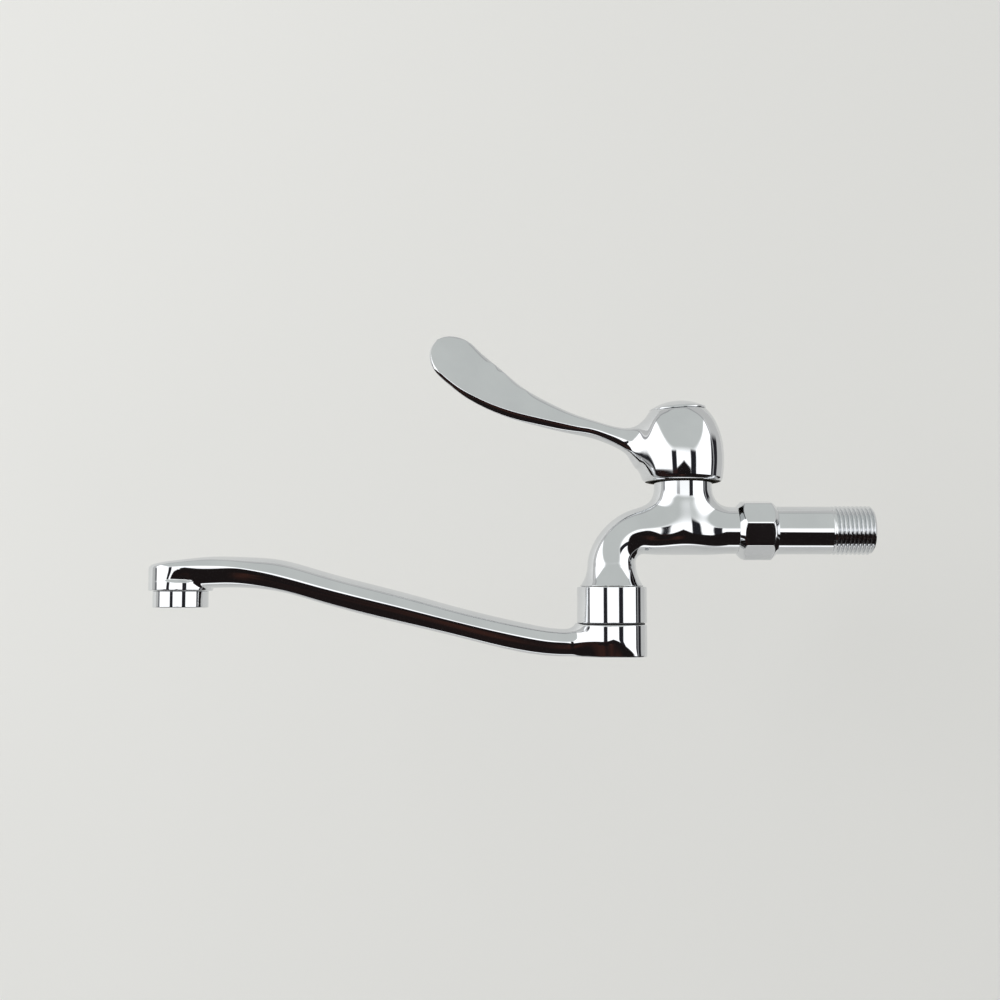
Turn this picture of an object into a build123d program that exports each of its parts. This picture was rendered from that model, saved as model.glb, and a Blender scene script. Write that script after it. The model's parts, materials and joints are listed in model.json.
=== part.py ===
from build123d import *
import math
import os

# Wall mounted sink tap with a quarter turn lever and a long swivel spout, in millimetres.
# The origin is the middle of the inlet thread's end face.
# +X runs into the wall and +Z is up. The lever and the spout point to -X.

# Main distances
inlet_to_valve = 80.8
valve_to_outlet = 30.9
spout_reach = 184.7

# Inlet nipple with a G 1/2 male thread
nipple_radius = 10.28
nipple_bore_radius = 6.2
nipple_length = 41.3
thread_crest_radius = 10.45
thread_depth = 1.16
thread_half_angle = 27.5
thread_pitch = 1.814
thread_length = 17.2
thread_lead_in = 1.2
nipple_stub_radius = 8.55
nipple_stub_length = 11.6
inlet_seal_thickness = 1.6
edge_break = 0.5

# Cast valve body
casting_wall = 2.0
collar_length = 16.7
collar_flats = 8
collar_corner_radius = 13.3
collar_chamfer = 2.8
collar_turn = 6.5
barrel_radius = 10.1
neck_radius = 12.4
neck_root_radius = 9.9
neck_flare_height = 12.0
neck_top = 23.4
neck_thread_radius = 10.0
neck_thread_length = 8.2
crotch_fillet = 5.0
inlet_channel_radius = 3.3
inlet_channel_drop = 4.9
chamber_radius = 8.9
seat_height = 0.0
seat_hole_radius = 4.2
elbow_bend_radius = 15.5
elbow_waist_radius = 9.5
elbow_end_radius = 10.5
elbow_end_height = -18.7
elbow_passage_radius = 5.6
skirt_radius = 13.6
skirt_bottom = -23.8
outlet_thread_radius = 12.2
outlet_thread_length = 8.6
outlet_bore_radius = 8.6

# Swivel nut that hangs the spout on the outlet
nut_radius = 14.95
nut_height = 15.4
nut_flange_height = 3.6
nut_flange_bore_radius = 9.3
nut_edge = 0.4

# Spout
spout_base_height = 13.6
spigot_radius = 8.55
spigot_bore_radius = 5.2
spigot_socket_depth = 4.8
retaining_ring_height = 2.2
retaining_ring_radius = 11.6
retaining_ring_split = 2.5
groove_depth = 0.95
o_ring_thickness = 1.76
o_ring_inset = 2.8
o_ring_pitch = 3.4
spout_passage_radius = 3.6
base_chamber_radius = 7.0
base_chamber_height = 6.0
slip_washer_height = 0.96
base_washer_radius = 14.1
head_radius = 13.75
head_bottom = -25.95
head_top = -12.2
head_slope = 5.5
head_edge_radius = 1.8

# Aerator in the spout head
aerator_ring_radius = 11.75
aerator_ring_height = 7.05
aerator_thread_radius = 10.6
aerator_thread_length = 5.2
aerator_bore_radius = 9.6
aerator_lip_radius = 8.4
aerator_lip_height = 1.2
aerator_washer_height = 1.3
core_wall = 1.2
core_skirt_height = 2.2
core_plate_height = 1.4
core_jets = 12
screen_height = 0.5
screen_hole_radius = 0.9
screen_hole_pitch = 2.4
diffuser_height = 2.6
diffuser_pitch = 2.6
diffuser_cell = 2.0
diffuser_rows = 7

# Quarter turn ceramic headwork
seat_seal_height = 2.4
headwork_radius = 8.1
headwork_bore_radius = 7.1
headwork_window_height = 3.0
headwork_window_width = 7.0
disc_radius = 7.0
disc_height = 2.8
disc_port_offset = 4.4
disc_port_length = 7.2
disc_port_width = 3.2
spindle_dog_width = 4.6
spindle_foot_height = 2.4
spindle_dog_depth = 1.0
spindle_collar_radius = 6.8
spindle_collar_height = 2.2
spindle_radius = 5.5
thrust_washer_height = 0.7
gland_radius = 7.6
gland_height = 3.4
headwork_hex_radius = 11.6
headwork_hex_height = 4.6
headwork_gasket_height = 1.0
spline_radius = 3.95
spline_root_radius = 3.5
spline_teeth = 20
spline_tooth_width = 0.9
spline_length = 9.0
clip_height = 0.8
clip_radius = 6.6

# Handle: a dome with a lever
handle_lean = 3.6
dome_rim_height = 20.7
dome_skirt_radius = 17.1
dome_widest_radius = 18.4
dome_top_radius = 12.3
dome_height = 31.2
dome_cavity_radius = 14.6
cap_radius = 12.15
cap_edge_height = 0.9
cap_crown_height = 3.4
cap_skirt_height = 2.0
cap_wall = 1.4
boss_radius = 7.6
boss_web_height = 2.2
screw_well_radius = 8.6
lever_root_inset = 5.2
lever_root_lift = 1.4
blade_width = 24.4
blade_thickness = 2.8
blade_roll = 35.0
blade_end_length = 10.9
blade_end_shares = [0.45, 0.75, 0.92, 0.99]

# Handle screw, its washer and the spline bush
bush_radius = 5.7
screw_shank_radius = 1.95
screw_head_radius = 3.8
screw_head_height = 2.6
screw_clear_radius = 2.3
screw_length = 10.8
screw_cross_width = 1.0
screw_cross_length = 4.4
screw_cross_depth = 1.5
tapped_hole_depth = 8.5
washer_radius = 4.6
washer_height = 0.9

# Fits
running_gap = 0.05
face_gap = 0.02
loose_gap = 0.1
seam = 0.4
base_seam = 0.6

# Places along X
valve_x = -inlet_to_valve
outlet_x = valve_x - valve_to_outlet
head_x = outlet_x - spout_reach
collar_end_x = -nipple_length
collar_start_x = collar_end_x - collar_length
stub_end_x = collar_end_x - nipple_stub_length
socket_end_x = stub_end_x - inlet_seal_thickness
inlet_bore_end_x = valve_x + neck_radius + casting_wall
elbow_start_x = outlet_x + elbow_bend_radius
elbow_sections = [
    (0.0, barrel_radius),
    (0.25, (barrel_radius + elbow_waist_radius) / 2),
    (0.5, elbow_waist_radius),
    (0.75, (elbow_waist_radius + elbow_end_radius) / 2 - edge_break / 2),
    (1.0, elbow_end_radius),
]

# Heights at the outlet, from the top down
outlet_thread_bottom = skirt_bottom - outlet_thread_length
nut_top = skirt_bottom - seam
nut_bottom = nut_top - nut_height
flange_top = nut_bottom + nut_flange_height
slip_washer_top = flange_top + slip_washer_height
ring_bottom = slip_washer_top + face_gap
base_top = nut_bottom - base_seam
base_bottom = base_top - spout_base_height
spigot_bottom = base_top - spigot_socket_depth
spigot_top = skirt_bottom - 2 * running_gap

# Heights in the spout head, from the bottom up
aerator_shoulder = head_bottom - running_gap
aerator_bottom = aerator_shoulder - aerator_ring_height
aerator_thread_top = aerator_shoulder + aerator_thread_length
head_shoulder = aerator_thread_top + aerator_washer_height
lip_top = aerator_bottom + aerator_lip_height
screen_bottom = lip_top + diffuser_height
screen_heights = [screen_bottom, screen_bottom + screen_height + loose_gap]
core_bottom = screen_heights[-1] + screen_height + face_gap
insert_radius = aerator_bore_radius - loose_gap

# Heights in the valve, from the seat up
disc_bottom = seat_height + seat_seal_height
moving_disc_bottom = disc_bottom + disc_height + face_gap
foot_top = moving_disc_bottom + disc_height + spindle_foot_height
collar_top = foot_top + spindle_collar_height
bearing_bottom = collar_top + face_gap + thrust_washer_height
hex_seat = neck_top + headwork_gasket_height
gland_bottom = hex_seat + headwork_hex_height
gland_top = gland_bottom + gland_height
clip_bottom = gland_top + face_gap
clip_top = clip_bottom + clip_height
boss_bottom = clip_top + 3 * loose_gap
spindle_top = boss_bottom + spline_length
web_bottom = spindle_top + 2 * loose_gap
web_top = web_bottom + boss_web_height
head_seat = web_top + washer_height

o_ring_heights = [bearing_bottom + o_ring_inset, hex_seat]
spigot_ring_heights = [spigot_top - o_ring_inset, spigot_top - o_ring_inset - o_ring_pitch]

# Axes
inlet_axis = Axis.X
valve_axis = Axis((valve_x, 0, 0), (0, 0, 1))
outlet_axis = Axis((outlet_x, 0, 0), (0, 0, 1))
lean_radians = math.radians(handle_lean)
lean_direction = Vector(-math.sin(lean_radians), 0, math.cos(lean_radians))
lean_origin = Vector(valve_x, 0, dome_rim_height)
lever_root_width = dome_height - lever_root_inset
lever_root_height = dome_rim_height + (dome_height + lever_root_lift) / 2
cap_seat = dome_height + face_gap
crown_radius = (cap_radius**2 + cap_crown_height**2) / (2 * cap_crown_height)
cap_half_rise = cap_crown_height - crown_radius + math.sqrt(crown_radius**2 - (cap_radius / 2) ** 2)
lean_axis = Axis(lean_origin, lean_direction)
lean_side = Vector(math.cos(lean_radians), 0, math.sin(lean_radians))
lean_plane = Plane(origin=lean_origin, x_dir=lean_side, z_dir=lean_direction)
lean_view = Plane(origin=lean_origin, x_dir=lean_side, z_dir=(0, -1, 0))

# Dome outline as (radius, distance up the leaning axis)
dome_outline = [
    (dome_skirt_radius, 0.0),
    (dome_widest_radius, 0.35 * dome_height),
    (dome_widest_radius, 0.5 * dome_height),
    (16.8, 0.74 * dome_height),
    (14.8, 0.89 * dome_height),
    (dome_top_radius, dome_height),
]

# Lever stations from the dome outwards: distance from the valve axis, height, blade width, thickness, roll
lever_stations = [
    (9.5, lever_root_height, lever_root_width, 20.0, 0.0),
    (16.7, 36.8, 19.0, 15.5, 0.0),
    (21.2, 38.3, 13.5, 11.5, 2.0),
    (25.6, 39.6, 9.8, 9.4, 5.0),
    (30.5, 41.1, 7.9, 8.6, 10.0),
    (37.5, 43.4, 7.2, 7.8, 20.0),
    (48.5, 46.4, 8.6, 6.6, 30.0),
    (60.8, 50.6, 12.0, 5.6, 33.0),
    (73.4, 55.7, 17.7, 4.6, blade_roll),
    (85.0, 62.4, 22.6, 3.8, blade_roll),
    (93.3, 68.9, blade_width, 3.2, blade_roll),
    (99.4, 74.8, 0.96 * blade_width, blade_thickness, blade_roll),
]

# Spout stations as (share of the reach, height of the widest level, half width, rise, drop)
spout_stations = [
    (0.0, -48.6, 6.4, 6.4, 5.2),
    (0.12, -48.5, 6.5, 6.5, 5.3),
    (0.195, -46.6, 7.2, 6.7, 5.8),
    (0.357, -39.9, 8.4, 7.1, 5.6),
    (0.493, -33.5, 8.7, 7.5, 6.1),
    (0.677, -24.8, 8.7, 7.7, 6.0),
    (0.763, -20.2, 8.6, 7.4, 6.2),
    (0.823, -17.7, 8.6, 6.1, 7.4),
    (0.877, -16.6, 8.8, 5.5, 8.4),
    (0.931, -16.4, 10.2, 5.3, 8.7),
    (0.98, -16.6, 12.9, 4.6, 8.9),
]
spout_side_slope = 24.0
spout_corner_radius = 1.4


def upright(axis_x, height):
    """Level plane with its origin on the upright axis at axis_x."""
    return Plane(origin=(axis_x, 0, height))


def facing_wall(x, height=0.0):
    """Upright plane across the tap at x, whose normal points into the wall."""
    return Plane(origin=(x, 0, height), x_dir=(0, 1, 0), z_dir=(1, 0, 0))


def side_view(axis_x):
    """Plane of the tap's side view, with its origin on the axis at axis_x."""
    return Plane(origin=(axis_x, 0, 0), x_dir=(1, 0, 0), z_dir=(0, -1, 0))


def disc(plane, radius, height, mode=Mode.ADD):
    """Round plate or hole that rises from the plane."""
    with BuildSketch(plane) as outline:
        Circle(radius)
    extrude(outline.sketch, amount=height, mode=mode)


def ring(plane, outer_radius, inner_radius, height, mode=Mode.ADD):
    """Round ring that rises from the plane."""
    with BuildSketch(plane) as outline:
        Circle(outer_radius)
        Circle(inner_radius, mode=Mode.SUBTRACT)
    extrude(outline.sketch, amount=height, mode=mode)


def turned(points, axis_x, axis, mode=Mode.ADD):
    """Turned solid whose half section is the closed outline of (radius, height) points."""
    with BuildSketch(side_view(axis_x)) as section:
        with BuildLine():
            Polyline(*points, close=True)
        make_face()
    revolve(section.sketch, axis=axis, mode=mode)


def o_ring(axis_x, axis, middle_radius, height, thickness):
    """Rubber ring of round section, centred at the height."""
    with BuildSketch(side_view(axis_x)) as section:
        with Locations((middle_radius, height)):
            Circle(thickness / 2)
    revolve(section.sketch, axis=axis)


def elbow_station(share):
    """Centre and direction of the elbow's path at a share of its quarter turn."""
    angle = math.radians(90 * share)
    centre = Vector(outlet_x + elbow_bend_radius, 0, -elbow_bend_radius)
    out = Vector(-math.sin(angle), 0, math.cos(angle))
    along = Vector(-math.cos(angle), 0, -math.sin(angle))
    return Plane(origin=centre + out * elbow_bend_radius, x_dir=(0, 1, 0), z_dir=along)


def spline_section(clearance):
    """Toothed round section of the spindle's head, grown by the clearance."""
    half = spline_tooth_width / 2 + clearance
    tip = spline_radius - spline_root_radius + clearance
    Circle(spline_root_radius + clearance)
    with PolarLocations(spline_root_radius, spline_teeth):
        Polygon((-tip, -half), (tip, -half / 3), (tip, half / 3), (-tip, half), align=None)


def lever_plane(place, before, after, roll):
    """Plane across the lever, turned by the roll about the lever's own direction."""
    along = Vector(before[0] - after[0], 0, after[1] - before[1]).normalized()
    up = Vector(along.Z, 0, -along.X)
    angle = math.radians(roll)
    across = up * math.cos(angle) + Vector(0, math.sin(angle), 0)
    return Plane(origin=(valve_x - place[0], 0, place[1]), x_dir=across, z_dir=along)


def spout_section(half_width, rise, drop):
    """Closed outline of the spout: half an ellipse above, straight sides leaning in below."""
    foot = half_width - drop * math.tan(math.radians(spout_side_slope))
    with BuildLine() as outline:
        EllipticalCenterArc((0, 0), half_width, rise, arc_size=180)
        Polyline((-half_width, 0), (-foot, -drop), (foot, -drop), (half_width, 0))
    make_face(outline.edges())


# Inlet nipple: a brass pipe with a G 1/2 thread at the wall end and a stub that screws into the collar.
with BuildPart() as inlet_nipple:
    disc(facing_wall(-thread_lead_in - thread_length), thread_crest_radius, thread_length + thread_lead_in)
    pipe_length = nipple_length - thread_lead_in - thread_length
    disc(facing_wall(collar_end_x), nipple_radius, pipe_length)
    disc(facing_wall(stub_end_x), nipple_stub_radius, nipple_stub_length)
    chamfer(inlet_nipple.edges().sort_by(Axis.X)[-1], thread_depth)
    groove_half_width = thread_depth * math.tan(math.radians(thread_half_angle))
    with BuildLine():
        groove_path = Helix(
            pitch=thread_pitch,
            height=thread_length + thread_pitch,
            radius=thread_crest_radius,
            center=(thread_pitch, 0, 0),
            direction=(-1, 0, 0),
        )
    with BuildSketch(Plane(origin=groove_path @ 0, x_dir=(1, 0, 0), z_dir=groove_path % 0)):
        with BuildLine():
            Polyline(
                (-groove_half_width * 1.2, -thread_depth * 0.2),
                (groove_half_width * 1.2, -thread_depth * 0.2),
                (0, thread_depth),
                close=True,
            )
        make_face()
    sweep(path=groove_path, is_frenet=True, mode=Mode.SUBTRACT)
    disc(facing_wall(stub_end_x), nipple_bore_radius, nipple_length + nipple_stub_length, mode=Mode.SUBTRACT)
inlet_nipple.part.label = "inlet_nipple"
export_step(inlet_nipple.part, "parts/inlet_nipple.step")

# Rubber ring squeezed at the bottom of the collar socket.
with BuildPart() as inlet_seal:
    ring(facing_wall(socket_end_x), nipple_stub_radius, nipple_bore_radius + loose_gap, inlet_seal_thickness)
inlet_seal.part.label = "inlet_seal"
export_step(inlet_seal.part, "parts/inlet_seal.step")

# Valve body: one casting of barrel, elbow, neck, eight sided collar and threaded outlet, with its water ways.
with BuildPart() as valve_body:
    disc(facing_wall(elbow_start_x), barrel_radius, collar_start_x + collar_chamfer - elbow_start_x)
    for share, radius in elbow_sections:
        with BuildSketch(elbow_station(share)):
            Circle(radius)
    loft()
    disc(upright(outlet_x, elbow_end_height), elbow_end_radius, -elbow_bend_radius - elbow_end_height)
    with BuildSketch(side_view(valve_x)):
        with BuildLine():
            Line((0, 0), (neck_root_radius, 0))
            Spline((neck_root_radius, 0), (neck_radius, neck_flare_height), tangents=((0, 1), (0, 1)))
            Line((neck_radius, neck_flare_height), (neck_radius, neck_top))
            Line((neck_radius, neck_top), (0, neck_top))
            Line((0, neck_top), (0, 0))
        make_face()
    revolve(axis=valve_axis)
    crotch_edges = [
        edge
        for edge in valve_body.edges().filter_by(GeomType.BSPLINE)
        if edge.bounding_box().min.X > elbow_start_x and edge.bounding_box().min.Z > -edge_break
    ]
    fillet(crotch_edges, crotch_fillet)
    with BuildSketch(facing_wall(collar_start_x)):
        RegularPolygon(collar_corner_radius, collar_flats, rotation=180 / collar_flats + collar_turn)
    extrude(amount=collar_length)
    turned(
        [
            (0, elbow_end_height),
            (elbow_end_radius, elbow_end_height),
            (skirt_radius, skirt_bottom),
            (0, skirt_bottom),
        ],
        outlet_x,
        outlet_axis,
    )
    disc(upright(outlet_x, outlet_thread_bottom), outlet_thread_radius, outlet_thread_length)
    for face_x, inward in ((collar_start_x, 1), (collar_end_x, -1)):
        with BuildSketch(Plane.XY):
            with BuildLine():
                Polyline(
                    (face_x, collar_corner_radius - collar_chamfer),
                    (face_x, collar_corner_radius + edge_break),
                    (face_x + inward * (collar_chamfer + edge_break), collar_corner_radius + edge_break),
                    close=True,
                )
            make_face()
        revolve(axis=inlet_axis, mode=Mode.SUBTRACT)
    disc(facing_wall(socket_end_x), nipple_stub_radius + running_gap, collar_end_x - socket_end_x, mode=Mode.SUBTRACT)
    disc(facing_wall(inlet_bore_end_x), nipple_bore_radius, socket_end_x - inlet_bore_end_x, mode=Mode.SUBTRACT)
    disc(
        facing_wall(valve_x - inlet_channel_radius, -inlet_channel_drop),
        inlet_channel_radius,
        inlet_bore_end_x + inlet_channel_radius - valve_x + edge_break,
        mode=Mode.SUBTRACT,
    )
    disc(upright(valve_x, seat_height - inlet_channel_drop), seat_hole_radius, inlet_channel_drop, mode=Mode.SUBTRACT)
    disc(upright(valve_x, seat_height), chamber_radius, neck_top - seat_height, mode=Mode.SUBTRACT)
    disc(
        upright(valve_x, neck_top - neck_thread_length),
        neck_thread_radius + running_gap,
        neck_thread_length,
        mode=Mode.SUBTRACT,
    )
    disc(
        facing_wall(elbow_start_x),
        elbow_passage_radius,
        valve_x - seat_hole_radius - casting_wall - elbow_start_x,
        mode=Mode.SUBTRACT,
    )
    for share, radius in elbow_sections:
        with BuildSketch(elbow_station(share)):
            Circle(elbow_passage_radius)
    loft(mode=Mode.SUBTRACT)
    disc(
        upright(outlet_x, spigot_top),
        elbow_passage_radius,
        -elbow_bend_radius - spigot_top,
        mode=Mode.SUBTRACT,
    )
    disc(
        upright(outlet_x, outlet_thread_bottom),
        outlet_bore_radius,
        spigot_top + loose_gap - outlet_thread_bottom,
        mode=Mode.SUBTRACT,
    )
valve_body.part.label = "valve_body"
export_step(valve_body.part, "parts/valve_body.step")

# Rubber seal between the seat and the foot of the headwork.
with BuildPart() as seat_seal:
    ring(upright(valve_x, seat_height), headwork_radius, seat_hole_radius + edge_break, seat_seal_height)
seat_seal.part.label = "seat_seal"
export_step(seat_seal.part, "parts/seat_seal.step")

# Headwork body: the brass cartridge that screws into the neck and guides the spindle.
with BuildPart() as headwork_body:
    disc(upright(valve_x, disc_bottom), headwork_radius, neck_top - disc_bottom)
    disc(upright(valve_x, neck_top - neck_thread_length), neck_thread_radius, hex_seat - neck_top + neck_thread_length)
    with BuildSketch(upright(valve_x, hex_seat)):
        RegularPolygon(headwork_hex_radius, 6)
    extrude(amount=headwork_hex_height)
    disc(upright(valve_x, gland_bottom), gland_radius, gland_height)
    disc(upright(valve_x, disc_bottom), headwork_bore_radius, bearing_bottom - disc_bottom, mode=Mode.SUBTRACT)
    disc(upright(valve_x, bearing_bottom), spindle_radius + running_gap, gland_top - bearing_bottom, mode=Mode.SUBTRACT)
    with BuildSketch(side_view(valve_x)):
        with Locations((0, moving_disc_bottom + disc_height)):
            Rectangle(headwork_window_width, headwork_window_height, align=(Align.CENTER, Align.MIN))
    extrude(amount=headwork_radius + edge_break, both=True, mode=Mode.SUBTRACT)
headwork_body.part.label = "headwork_body"
export_step(headwork_body.part, "parts/headwork_body.step")

# Fibre gasket between the neck and the headwork's hexagon.
with BuildPart() as headwork_gasket:
    ring(
        upright(valve_x, neck_top),
        neck_radius - 2 * loose_gap,
        neck_thread_radius + loose_gap,
        headwork_gasket_height,
    )
headwork_gasket.part.label = "headwork_gasket"
export_step(headwork_gasket.part, "parts/headwork_gasket.step")

# Fixed ceramic disc with two quarter ports.
with BuildPart() as fixed_disc:
    disc(upright(valve_x, disc_bottom), disc_radius, disc_height)
    with BuildSketch(upright(valve_x, disc_bottom)):
        with PolarLocations(disc_port_offset, 2, start_angle=90):
            SlotOverall(disc_port_length, disc_port_width, rotation=90)
    extrude(amount=disc_height, mode=Mode.SUBTRACT)
fixed_disc.part.label = "fixed_disc"
export_step(fixed_disc.part, "parts/fixed_disc.step")

# Moving ceramic disc, a quarter turn out of line with the fixed one while the tap is shut.
with BuildPart() as moving_disc:
    disc(upright(valve_x, moving_disc_bottom), disc_radius - loose_gap, disc_height)
    with BuildSketch(upright(valve_x, moving_disc_bottom)):
        with PolarLocations(disc_port_offset, 2):
            SlotOverall(disc_port_length, disc_port_width, rotation=90)
    extrude(amount=disc_height, mode=Mode.SUBTRACT)
    with BuildSketch(upright(valve_x, moving_disc_bottom + disc_height - spindle_dog_depth)):
        Rectangle(spindle_dog_width, 2 * disc_radius)
    extrude(amount=spindle_dog_depth, mode=Mode.SUBTRACT)
moving_disc.part.label = "moving_disc"
export_step(moving_disc.part, "parts/moving_disc.step")

# Spindle: dog, collar, two ring grooves, clip groove and a splined head with a tapped hole.
with BuildPart() as spindle:
    with BuildSketch(upright(valve_x, moving_disc_bottom + disc_height - spindle_dog_depth)):
        Rectangle(spindle_dog_width - loose_gap, 2 * spindle_collar_radius)
        Circle(spindle_collar_radius, mode=Mode.INTERSECT)
    extrude(amount=spindle_dog_depth + spindle_foot_height)
    disc(upright(valve_x, foot_top), spindle_collar_radius, spindle_collar_height)
    disc(upright(valve_x, collar_top), spindle_radius, clip_top + loose_gap - collar_top)
    with BuildSketch(upright(valve_x, clip_top)):
        spline_section(0)
    extrude(amount=spindle_top - clip_top)
    for height in o_ring_heights:
        with BuildSketch(upright(valve_x, height - o_ring_thickness / 2 - running_gap)):
            Circle(spindle_radius + edge_break)
            Circle(spindle_radius - o_ring_thickness, mode=Mode.SUBTRACT)
        extrude(amount=o_ring_thickness + 2 * running_gap, mode=Mode.SUBTRACT)
    ring(
        upright(valve_x, clip_bottom),
        spindle_radius + edge_break,
        spindle_radius - groove_depth,
        clip_height + 2 * face_gap,
        mode=Mode.SUBTRACT,
    )
    disc(
        upright(valve_x, spindle_top - tapped_hole_depth),
        screw_shank_radius + running_gap,
        tapped_hole_depth,
        mode=Mode.SUBTRACT,
    )
spindle.part.label = "spindle"
export_step(spindle.part, "parts/spindle.step")

# Rubber rings in the spindle's two grooves, as one group.
with BuildPart() as spindle_o_rings:
    for height in o_ring_heights:
        o_ring(valve_x, valve_axis, spindle_radius - o_ring_thickness / 2, height, o_ring_thickness)
spindle_o_rings.part.label = "spindle_o_rings"
export_step(spindle_o_rings.part, "parts/spindle_o_rings.step")

# Nylon washer between the spindle's collar and the headwork's shoulder.
with BuildPart() as thrust_washer:
    ring(
        upright(valve_x, collar_top),
        spindle_collar_radius,
        spindle_radius + loose_gap,
        thrust_washer_height,
    )
thrust_washer.part.label = "thrust_washer"
export_step(thrust_washer.part, "parts/thrust_washer.step")

# Spring clip that keeps the spindle from dropping into the headwork.
with BuildPart() as spindle_clip:
    ring(upright(valve_x, clip_bottom), clip_radius, spindle_radius - groove_depth + face_gap, clip_height)
    with BuildSketch(upright(valve_x, clip_bottom)):
        Rectangle(2 * clip_radius, spline_root_radius, align=(Align.MIN, Align.CENTER))
    extrude(amount=clip_height, mode=Mode.SUBTRACT)
spindle_clip.part.label = "spindle_clip"
export_step(spindle_clip.part, "parts/spindle_clip.step")

# Handle: a hollow dome that leans towards its curved lever, with a splined boss inside.
with BuildPart() as handle:
    with BuildSketch(lean_view):
        with BuildLine():
            Line((0, -edge_break), (dome_skirt_radius, -edge_break))
            Line((dome_skirt_radius, -edge_break), dome_outline[0])
            Spline(*dome_outline)
            Line(dome_outline[-1], (0, dome_height))
            Line((0, dome_height), (0, -edge_break))
        make_face()
    revolve(axis=lean_axis)
    for index, (reach, height, width, thickness, roll) in enumerate(lever_stations):
        before = lever_stations[max(index - 1, 0)]
        after = lever_stations[min(index + 1, len(lever_stations) - 1)]
        with BuildSketch(lever_plane((reach, height), before, after, roll)):
            RectangleRounded(width, thickness, 0.45 * min(width, thickness))
    for share in blade_end_shares:
        tip_reach, tip_height, width, thickness, roll = lever_stations[-1]
        before = lever_stations[-2]
        step = math.hypot(tip_reach - before[0], tip_height - before[1])
        place = (
            tip_reach + blade_end_length * share * (tip_reach - before[0]) / step,
            tip_height + blade_end_length * share * (tip_height - before[1]) / step,
        )
        narrowing = math.sqrt(1 - share**2)
        with BuildSketch(lever_plane(place, before, place, roll)):
            RectangleRounded(width * narrowing, thickness * (1 - 0.3 * share), 0.4 * thickness * (1 - 0.3 * share))
    loft()
    split(bisect_by=Plane.XY.offset(dome_rim_height), keep=Keep.TOP)
    turned(
        [
            (0, dome_rim_height - edge_break),
            (dome_cavity_radius, dome_rim_height - edge_break),
            (dome_cavity_radius + edge_break, gland_bottom),
            (dome_cavity_radius, clip_top + casting_wall),
            (dome_cavity_radius - casting_wall, web_bottom - casting_wall / 2),
            (boss_radius, web_bottom - casting_wall / 2),
            (boss_radius, boss_bottom),
            (0, boss_bottom),
        ],
        valve_x,
        valve_axis,
        mode=Mode.SUBTRACT,
    )
    disc(upright(valve_x, boss_bottom), bush_radius + running_gap, web_bottom - boss_bottom, mode=Mode.SUBTRACT)
    disc(upright(valve_x, web_bottom), screw_clear_radius, boss_web_height, mode=Mode.SUBTRACT)
    disc(upright(valve_x, web_top), washer_radius + seam, boss_web_height, mode=Mode.SUBTRACT)
    disc(
        lean_plane.offset(web_top + edge_break - dome_rim_height),
        screw_well_radius,
        dome_height,
        mode=Mode.SUBTRACT,
    )
handle.part.label = "handle"
export_step(handle.part, "parts/handle.step")

# Plastic bush that carries the handle on the spindle's splines.
with BuildPart() as spline_bush:
    disc(upright(valve_x, boss_bottom), bush_radius, spline_length + loose_gap)
    with BuildSketch(upright(valve_x, boss_bottom)):
        spline_section(running_gap)
    extrude(amount=spline_length + loose_gap, mode=Mode.SUBTRACT)
spline_bush.part.label = "spline_bush"
export_step(spline_bush.part, "parts/spline_bush.step")

# Pan head screw with a cross recess, into the spindle's tapped hole.
with BuildPart() as handle_screw:
    disc(upright(valve_x, head_seat), screw_head_radius, screw_head_height)
    fillet(handle_screw.edges().filter_by(GeomType.CIRCLE).sort_by(Axis.Z)[-1], 2 * edge_break)
    disc(upright(valve_x, head_seat - screw_length), screw_shank_radius, screw_length)
    with BuildSketch(upright(valve_x, head_seat + screw_head_height)):
        Rectangle(screw_cross_length, screw_cross_width)
        Rectangle(screw_cross_width, screw_cross_length)
    extrude(amount=-screw_cross_depth, mode=Mode.SUBTRACT)
handle_screw.part.label = "handle_screw"
export_step(handle_screw.part, "parts/handle_screw.step")

# Spring washer under the screw's head.
with BuildPart() as screw_washer:
    ring(upright(valve_x, web_top), washer_radius, screw_clear_radius, washer_height)
screw_washer.part.label = "screw_washer"
export_step(screw_washer.part, "parts/screw_washer.step")

# Domed cap that snaps into the well and hides the screw.
with BuildPart() as handle_cap:
    with BuildSketch(lean_view):
        with BuildLine():
            Line((0, cap_seat), (cap_radius, cap_seat))
            Line((cap_radius, cap_seat), (cap_radius, cap_seat + cap_edge_height))
            ThreePointArc(
                (cap_radius, cap_seat + cap_edge_height),
                (cap_radius / 2, cap_seat + cap_edge_height + cap_half_rise),
                (0, cap_seat + cap_edge_height + cap_crown_height),
            )
            Line((0, cap_seat + cap_edge_height + cap_crown_height), (0, cap_seat))
        make_face()
    revolve(axis=lean_axis)
    ring(
        lean_plane.offset(cap_seat - cap_skirt_height),
        screw_well_radius - loose_gap,
        screw_well_radius - loose_gap - cap_wall,
        cap_skirt_height,
    )
    disc(
        lean_plane.offset(cap_seat - cap_skirt_height),
        screw_well_radius - loose_gap - cap_wall,
        cap_skirt_height + cap_edge_height,
        mode=Mode.SUBTRACT,
    )
handle_cap.part.label = "handle_cap"
export_step(handle_cap.part, "parts/handle_cap.step")

# Swivel nut, screwed on the outlet, whose inner flange carries the spout.
with BuildPart() as swivel_nut:
    disc(upright(outlet_x, nut_bottom), nut_radius, nut_height)
    chamfer(swivel_nut.edges().filter_by(GeomType.CIRCLE), nut_edge)
    disc(upright(outlet_x, nut_bottom), nut_flange_bore_radius, nut_flange_height, mode=Mode.SUBTRACT)
    disc(
        upright(outlet_x, flange_top),
        outlet_thread_radius + running_gap,
        nut_height - nut_flange_height,
        mode=Mode.SUBTRACT,
    )
swivel_nut.part.label = "swivel_nut"
export_step(swivel_nut.part, "parts/swivel_nut.step")

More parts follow.
